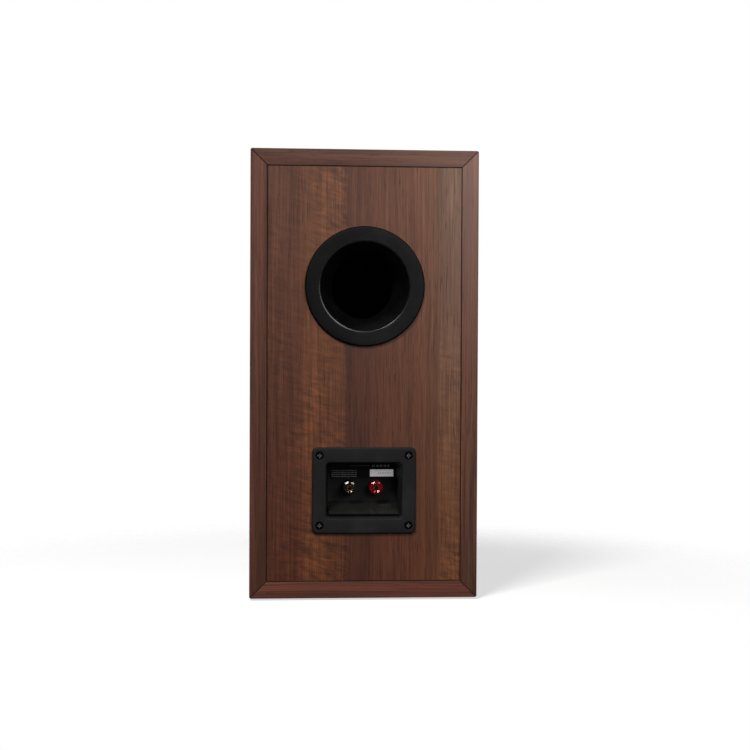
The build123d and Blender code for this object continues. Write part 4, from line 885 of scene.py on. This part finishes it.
# ---- Port ------------------------------------------------------------------------------------
PORT_FLANGE_R = 0.0567
PORT_FACE = 0.003
PORT_FACE_IN_R = 0.0433
PORT_LIP_R = 0.0417
PORT_THROAT_R = 0.030
PORT_FLARE = 0.031
PORT_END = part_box("port_tube")[0].y - REAR_Y
PORT_WALL = 0.0025
edge_profile = [
    (PORT_FLANGE_R, 0.0),
    (PORT_FLANGE_R, 0.0008),
    *arc(PORT_FLANGE_R - 0.0018, PORT_FACE - 0.0018, 0.0018, 0, 70, 7),
]
ring_profile = [
    *arc(PORT_FLANGE_R - 0.0018, PORT_FACE - 0.0018, 0.0018, 70, 90, 2),
    (0.0500, 0.00278),
    (PORT_FACE_IN_R + 0.0006, 0.00252),
    (PORT_FACE_IN_R + 0.0003, 0.00250),
]
# A narrow bevel, which catches the light, and the round into the throat.
lip_profile = [
    (PORT_FACE_IN_R + 0.0003, 0.00250),
    (PORT_FACE_IN_R - 0.0005, 0.00228),
    (PORT_FACE_IN_R - 0.0006, 0.00224),
    *arc(PORT_FACE_IN_R, 0.0012, 0.0013, 130, 180, 6),
]
throat_profile = [
    *bowed((PORT_LIP_R + 0.0003, 0.0012), (PORT_THROAT_R, -PORT_FLARE), -0.0030, 16),
    (PORT_THROAT_R, PORT_END),
    (PORT_THROAT_R + PORT_WALL, PORT_END),
    (PORT_THROAT_R + PORT_WALL, -PORT_FLARE),
    (0.0445, -0.0006),
    (PORT_FLANGE_R - 0.0004, 0.0),
]
port_spot = (PORT.x, REAR_Y, PORT.z)
for name, profile, look, hidden in (
    ("port_ring", ring_profile, port_black, ["port_tube"]),
    ("port_edge", edge_profile, edge_painted_shade, []),
    ("port_lip", lip_profile, lip_black, []),
):
    ring_mesh = mesh_of(name, lathe(profile, port_spot, steps=200, closed=False), 60.0)
    add_piece(name, ring_mesh, "cabinet", look, hidden)
throat_mesh = mesh_of("port_throat", lathe(throat_profile, port_spot, steps=160, closed=False), 50.0)
add_piece("port_throat", throat_mesh, "cabinet", throat_painted_shade)

# ---- Binding posts ---------------------------------------------------------------------------
CAP_R = 0.00635
CAP_RIM_R = 0.0046
CAP_BORE_R = 0.0031
CAP_BEVEL = radians(29)
CAP_SIDES = 12
FLUTE_DEPTH = 0.00055
STEPS_PER_SIDE = 12
CORE_SIDES = 10
TINY = 0.00001


def post_cap(side):
    """Clear cap: fluted sides, a faceted bevel round its end, and a faceted dish round the plug hole."""
    low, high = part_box(f"{side}_post_cap")
    core_low, core_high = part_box(f"{side}_post_sleeve")
    inner = (core_high.x - core_low.x) / 2 + 0.00012
    end = high.y
    shoulder = end - (CAP_R - CAP_RIM_R) * tan(CAP_BEVEL)
    dish = end - (CAP_RIM_R - CAP_BORE_R) * tan(CAP_BEVEL)
    flute_foot = low.y + 0.0018

    def shaped(angle, radius, height):
        """Flutes along the sides, and flats round the end."""
        across = pi / CAP_SIDES
        off = (angle + across) % (2 * across) - across
        if height < flute_foot or radius < CAP_BORE_R + TINY:
            return 0.0
        if height >= shoulder - TINY:
            return radius * (cos(across) / cos(off) - 1)
        if radius <= inner:
            return 0.0
        return -FLUTE_DEPTH * max(0.0, cos(CAP_SIDES * (angle + across))) ** 2

    profile = [
        (inner, low.y),
        (CAP_R - 0.0004, low.y),
        (CAP_R, low.y + 0.0004),
        (CAP_R, low.y + 0.0016),
        (CAP_R, low.y + 0.0024),
        (CAP_R, shoulder - 0.0006),
        (CAP_R, shoulder),
        (CAP_RIM_R + 0.0001, end - 0.00003),
        (CAP_RIM_R, end),
        (CAP_RIM_R - 0.0001, end - 0.00003),
        (CAP_BORE_R, dish),
        (CAP_BORE_R, core_high.y + 0.0001),
        (inner, core_high.y + 0.0001),
    ]
    spot = (POSTS[side].x, 0.0, POSTS[side].z)
    steps = CAP_SIDES * STEPS_PER_SIDE
    return mesh_of(f"{side}_cap", lathe(profile, spot, steps=steps, wobble=shaped), 9.0)


def post_core(side):
    """Gold core seen through the cap, turned with narrow flats so that it glitters."""
    low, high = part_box(f"{side}_post_sleeve")
    radius = (high.x - low.x) / 2
    profile = [
        (CAP_BORE_R, low.y),
        (radius, low.y),
        (radius, low.y + 0.0012),
        (radius - 0.0008, low.y + 0.0018),
        (radius - 0.0008, low.y + 0.0030),
        (radius, low.y + 0.0036),
        (radius, high.y - 0.0030),
        (radius - 0.0011, high.y),
        (CAP_BORE_R, high.y),
    ]
    spot = (POSTS[side].x, 0.0, POSTS[side].z)
    return mesh_of(f"{side}_core", lathe(profile, spot, steps=CORE_SIDES), 20.0)


for side, cap_look in (("black", clear_black), ("red", clear_red)):
    cap_mesh = post_cap(side)
    add_piece(f"{side}_cap_moulding", cap_mesh, f"{side}_cap", cap_look, [f"{side}_post_cap"])
    core_mesh = post_core(side)
    add_piece(f"{side}_cap_core", core_mesh, f"{side}_sleeve", gold, [f"{side}_post_sleeve"])

# ---- Woofer and tweeter skins ----------------------------------------------------------------
WOOFER_SPOT = Vector((WOOFER.x, FRONT_Y, WOOFER.z))
TWEETER_SPOT = Vector((TWEETER.x, FRONT_Y, TWEETER.z))
SEAT = -0.003
SEAT_R = 0.0719
ROLL_OUT_R, ROLL_IN_R = 0.0642, 0.0530
ROLL_H = 0.005
SKIN = 0.0008
CONE_R, CONE_RIM_R, CONE_NECK_R = 0.0535, 0.0495, 0.0133
CONE_NECK = -0.0275
CONE_BOW = 0.00305
DUST_R, DUST_TOP, DUST_FOOT = 0.0200, -0.0120, -0.02026

surround_top = SEAT + SKIN
surround_profile = [
    (SEAT_R, SEAT),
    (SEAT_R, surround_top),
    (ROLL_OUT_R + 0.0012, surround_top),
    (ROLL_OUT_R + 0.0003, surround_top + 0.0002),
    *bowed((ROLL_OUT_R, surround_top + 0.0003), (ROLL_IN_R, surround_top + 0.0003), -ROLL_H + 0.0003, 20),
    (ROLL_IN_R - 0.0003, surround_top + 0.0002),
    (ROLL_IN_R - 0.0012, surround_top),
    (CONE_RIM_R + 0.0004, surround_top),
    (CONE_RIM_R, surround_top - 0.0003),
    (CONE_RIM_R, SEAT),
    (ROLL_IN_R + SKIN, SEAT),
    *bowed((ROLL_IN_R + SKIN, SEAT), (ROLL_OUT_R - SKIN, SEAT), ROLL_H, 20),
]
surround_mesh = mesh_of("woofer_roll", lathe(surround_profile, WOOFER_SPOT, -1, 180), 50.0)
woofer_roll = add_piece("woofer_roll", surround_mesh, None, roll_rubber, ["woofer_surround"])
blend_round(woofer_roll, WOOFER_SPOT, ROLL_OUT_R, ROLL_IN_R)

cone_profile = [
    (CONE_R, SEAT - 0.00005),
    (CONE_RIM_R, SEAT - 0.00005),
    *bowed((CONE_RIM_R, SEAT - 0.0002), (CONE_NECK_R, CONE_NECK), -CONE_BOW, 20),
    (CONE_NECK_R, CONE_NECK - 0.0012),
    *bowed((CONE_NECK_R, CONE_NECK - 0.0012), (CONE_RIM_R, SEAT - 0.0011), CONE_BOW, 20),
    (CONE_R, SEAT - 0.0009),
]
cone_mesh = mesh_of("cone_skin", lathe(cone_profile, WOOFER_SPOT, -1, 180), 50.0)
add_piece("cone_skin", cone_mesh, "woofer_motor_moving", cone_look, ["woofer_cone"])

dust_profile = [
    *domed(DUST_R - 0.0006, DUST_TOP, DUST_FOOT + 0.0004, 16),
    (DUST_R, DUST_FOOT),
    (DUST_R - 0.0012, DUST_FOOT),
    *reversed(domed(DUST_R - 0.0014, DUST_TOP - 0.0009, DUST_FOOT, 16)),
]
dust_mesh = mesh_of("dust_dome", lathe(dust_profile, WOOFER_SPOT, -1, 120, closed=False), 50.0)
add_piece("dust_dome", dust_mesh, "woofer_motor_moving", dust_look, ["woofer_dust_cap"])

SPIDER_IN_R, SPIDER_OUT_R, SPIDER_RIM_R = 0.0160, 0.0370, 0.0425
SPIDER_NECK_R = 0.01325
SPIDER_WAVE = 0.0013
SPIDER_ROLLS = 5


def spider_line(height):
    """Corrugated line from the spider's neck out to its rim."""
    points = [(SPIDER_NECK_R, height)]
    steps = 8 * SPIDER_ROLLS
    for i in range(steps + 1):
        part = i / steps
        rise = SPIDER_WAVE * sin(pi * SPIDER_ROLLS * part)
        points.append((SPIDER_IN_R + (SPIDER_OUT_R - SPIDER_IN_R) * part, height + rise))
    points.append((SPIDER_RIM_R, height))
    return points


SPIDER_MID = FRONT_Y - middle("woofer_spider").y
CLOTH = 0.0005
spider_profile = spider_line(SPIDER_MID - CLOTH / 2) + list(reversed(spider_line(SPIDER_MID + CLOTH / 2)))
spider_mesh = mesh_of("spider_skin", lathe(spider_profile, WOOFER_SPOT, -1, 120), 50.0)
spider_skin = add_piece("spider_skin", spider_mesh, None, spider_cloth, ["woofer_spider"])
blend_round(spider_skin, WOOFER_SPOT, SPIDER_OUT_R, SPIDER_IN_R)

DOME_R, DOME_TOP, DOME_FOOT = 0.0127, -0.0110, -0.0162
DOME_SKIN = 0.00035
DOME_SKIRT = FRONT_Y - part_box("tweeter_dome")[1].y
HALO_R, HALO_RIM_R = 0.0163, 0.0183
HALO_RISE = 0.0013
dome_profile = [
    *domed(DOME_R, DOME_TOP, DOME_FOOT, 20),
    (DOME_R, DOME_SKIRT),
    (DOME_R - DOME_SKIN, DOME_SKIRT),
    *reversed(domed(DOME_R - DOME_SKIN, DOME_TOP - DOME_SKIN, DOME_FOOT, 20)),
]
dome_mesh = mesh_of("dome_skin", lathe(dome_profile, TWEETER_SPOT, -1, 120, closed=False), 50.0)
add_piece("dome_skin", dome_mesh, "tweeter_moving", silk, ["tweeter_dome"])

halo_in = DOME_R + 0.00005
halo_profile = [
    (HALO_RIM_R, DOME_FOOT - 0.0003),
    (HALO_RIM_R, DOME_FOOT),
    *bowed((HALO_R, DOME_FOOT), (halo_in, DOME_FOOT), -HALO_RISE, 12),
    *bowed((halo_in, DOME_FOOT - 0.0003), (HALO_R, DOME_FOOT - 0.0003), HALO_RISE, 12),
]
halo_mesh = mesh_of("tweeter_halo", lathe(halo_profile, TWEETER_SPOT, -1, 120), 50.0)
halo = add_piece("tweeter_halo", halo_mesh, None, silk, ["tweeter_surround"])
blend_round(halo, TWEETER_SPOT, HALO_R, DOME_R)

# ---- Camera, floor and light -----------------------------------------------------------------
scene = bpy.context.scene
scene.view_settings.view_transform = "Standard"

camera_data = bpy.data.cameras.new("camera")
camera_data.lens = 76.2
camera_data.sensor_width = 36.0
camera_data.clip_start, camera_data.clip_end = 0.05, 50.0
camera = bpy.data.objects.new("camera", camera_data)
scene.collection.objects.link(camera)
# The camera stands behind the speaker, a little above its middle and to one side.
CAMERA_ASIDE, CAMERA_AWAY, CAMERA_HEIGHT = 0.108, 1.496, 0.238
ROLL, TILT, PAN = radians(-0.27), radians(1.02), radians(4.51)
camera.location = (CAMERA_ASIDE, REAR_Y + CAMERA_AWAY, CAMERA_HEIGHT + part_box("bottom_panel")[0].z)
picture_axes = Matrix(((-1, 0, 0), (0, 0, 1), (0, 1, 0)))
aim = Matrix.Rotation(ROLL, 3, "Z") @ Matrix.Rotation(TILT, 3, "X") @ Matrix.Rotation(PAN, 3, "Y")
camera.rotation_mode = "QUATERNION"
camera.rotation_quaternion = (picture_axes @ aim.transposed()).to_quaternion()
scene.camera = camera


def softbox(name, place, target, size, power):
    """Square area light at a place, turned to a target."""
    data = bpy.data.lights.new(name, "AREA")
    data.shape = "RECTANGLE"
    data.size, data.size_y = size, size
    data.energy = power
    light = bpy.data.objects.new(name, data)
    scene.collection.objects.link(light)
    light.location = place
    light.rotation_mode = "QUATERNION"
    light.rotation_quaternion = (Vector(target) - Vector(place)).to_track_quat("-Z", "Y")
    return light


BEHIND = (0.0, 0.12, 0.18)
softbox("key", (0.60, 1.25, 1.45), BEHIND, 0.50, 18.5)
second = softbox("second", (-0.85, 1.20, 1.35), BEHIND, 0.34, 4.4)
sheen = softbox("sheen", (-0.66, 1.75, 0.92), (0.0, 0.13, 0.30), 0.9, 9.0)
front_fill = softbox("front_fill", (-1.2, -2.0, 1.6), (0.0, -0.1, 0.2), 1.4, 36.0)

# The world is white to the camera, and lights the scene only a little.
WORLD_LIGHT = 0.08
world = bpy.data.worlds.new("studio")
world.use_nodes = True
scene.world = world
nodes, links = world.node_tree.nodes, world.node_tree.links
nodes.clear()
out = nodes.new("ShaderNodeOutputWorld")
seen = nodes.new("ShaderNodeBackground")
felt = nodes.new("ShaderNodeBackground")
path = nodes.new("ShaderNodeLightPath")
choose = nodes.new("ShaderNodeMixShader")
seen.inputs[0].default_value = (1, 1, 1, 1)
seen.inputs[1].default_value = 1.0
felt.inputs[0].default_value = (1, 1, 1, 1)
felt.inputs[1].default_value = WORLD_LIGHT
links.new(path.outputs["Is Camera Ray"], choose.inputs[0])
links.new(felt.outputs[0], choose.inputs[1])
links.new(seen.outputs[0], choose.inputs[2])
links.new(choose.outputs[0], out.inputs[0])

PAPER_HALF = 4.0
PAPER_GLOW = 0.635
FADE_FROM, FADE_TO = 0.26, 0.56
paper_corners = [(x * PAPER_HALF, y * PAPER_HALF, 0) for x, y in ((-1, -1), (1, -1), (1, 1), (-1, 1))]
floor_mesh = bpy.data.meshes.new("floor")
floor_mesh.from_pydata(paper_corners, [], [(0, 1, 2, 3)])
floor = bpy.data.objects.new("floor", floor_mesh)
scene.collection.objects.link(floor)
floor_look = Look("floor_paper", Roughness=0.9, Specular_IOR_Level=0.1)
floor_look.set("Emission_Color", (1.0, 1.0, 1.0, 1.0))
camera_ray = floor_look.node("LightPath", {}, "Is Camera Ray")
# The paper looks white to the camera, yet throws little light back up at the cabinet.
floor_look.set("Emission_Strength", floor_look.sum("MULTIPLY", camera_ray, PAPER_GLOW))
floor_look.set("Base_Color", floor_look.mix(camera_ray, grey(110), (0.9, 0.9, 0.9, 1.0)))
# It fades into the white of the world away from the speaker.
away = floor_look.length(floor_look.point())
floor_look.set("Alpha", floor_look.smooth(away, FADE_FROM, FADE_TO, 1.0, 0.0))
floor_mesh.materials.append(floor_look.material)

# Of the lights only the key reaches the floor, so the speaker throws one shadow, to the viewer's right.
without_floor = bpy.data.collections.new("without_floor")
without_floor.objects.link(floor)
without_floor.collection_objects[0].light_linking.link_state = "EXCLUDE"
for light in (second, sheen, front_fill):
    light.light_linking.receiver_collection = without_floor
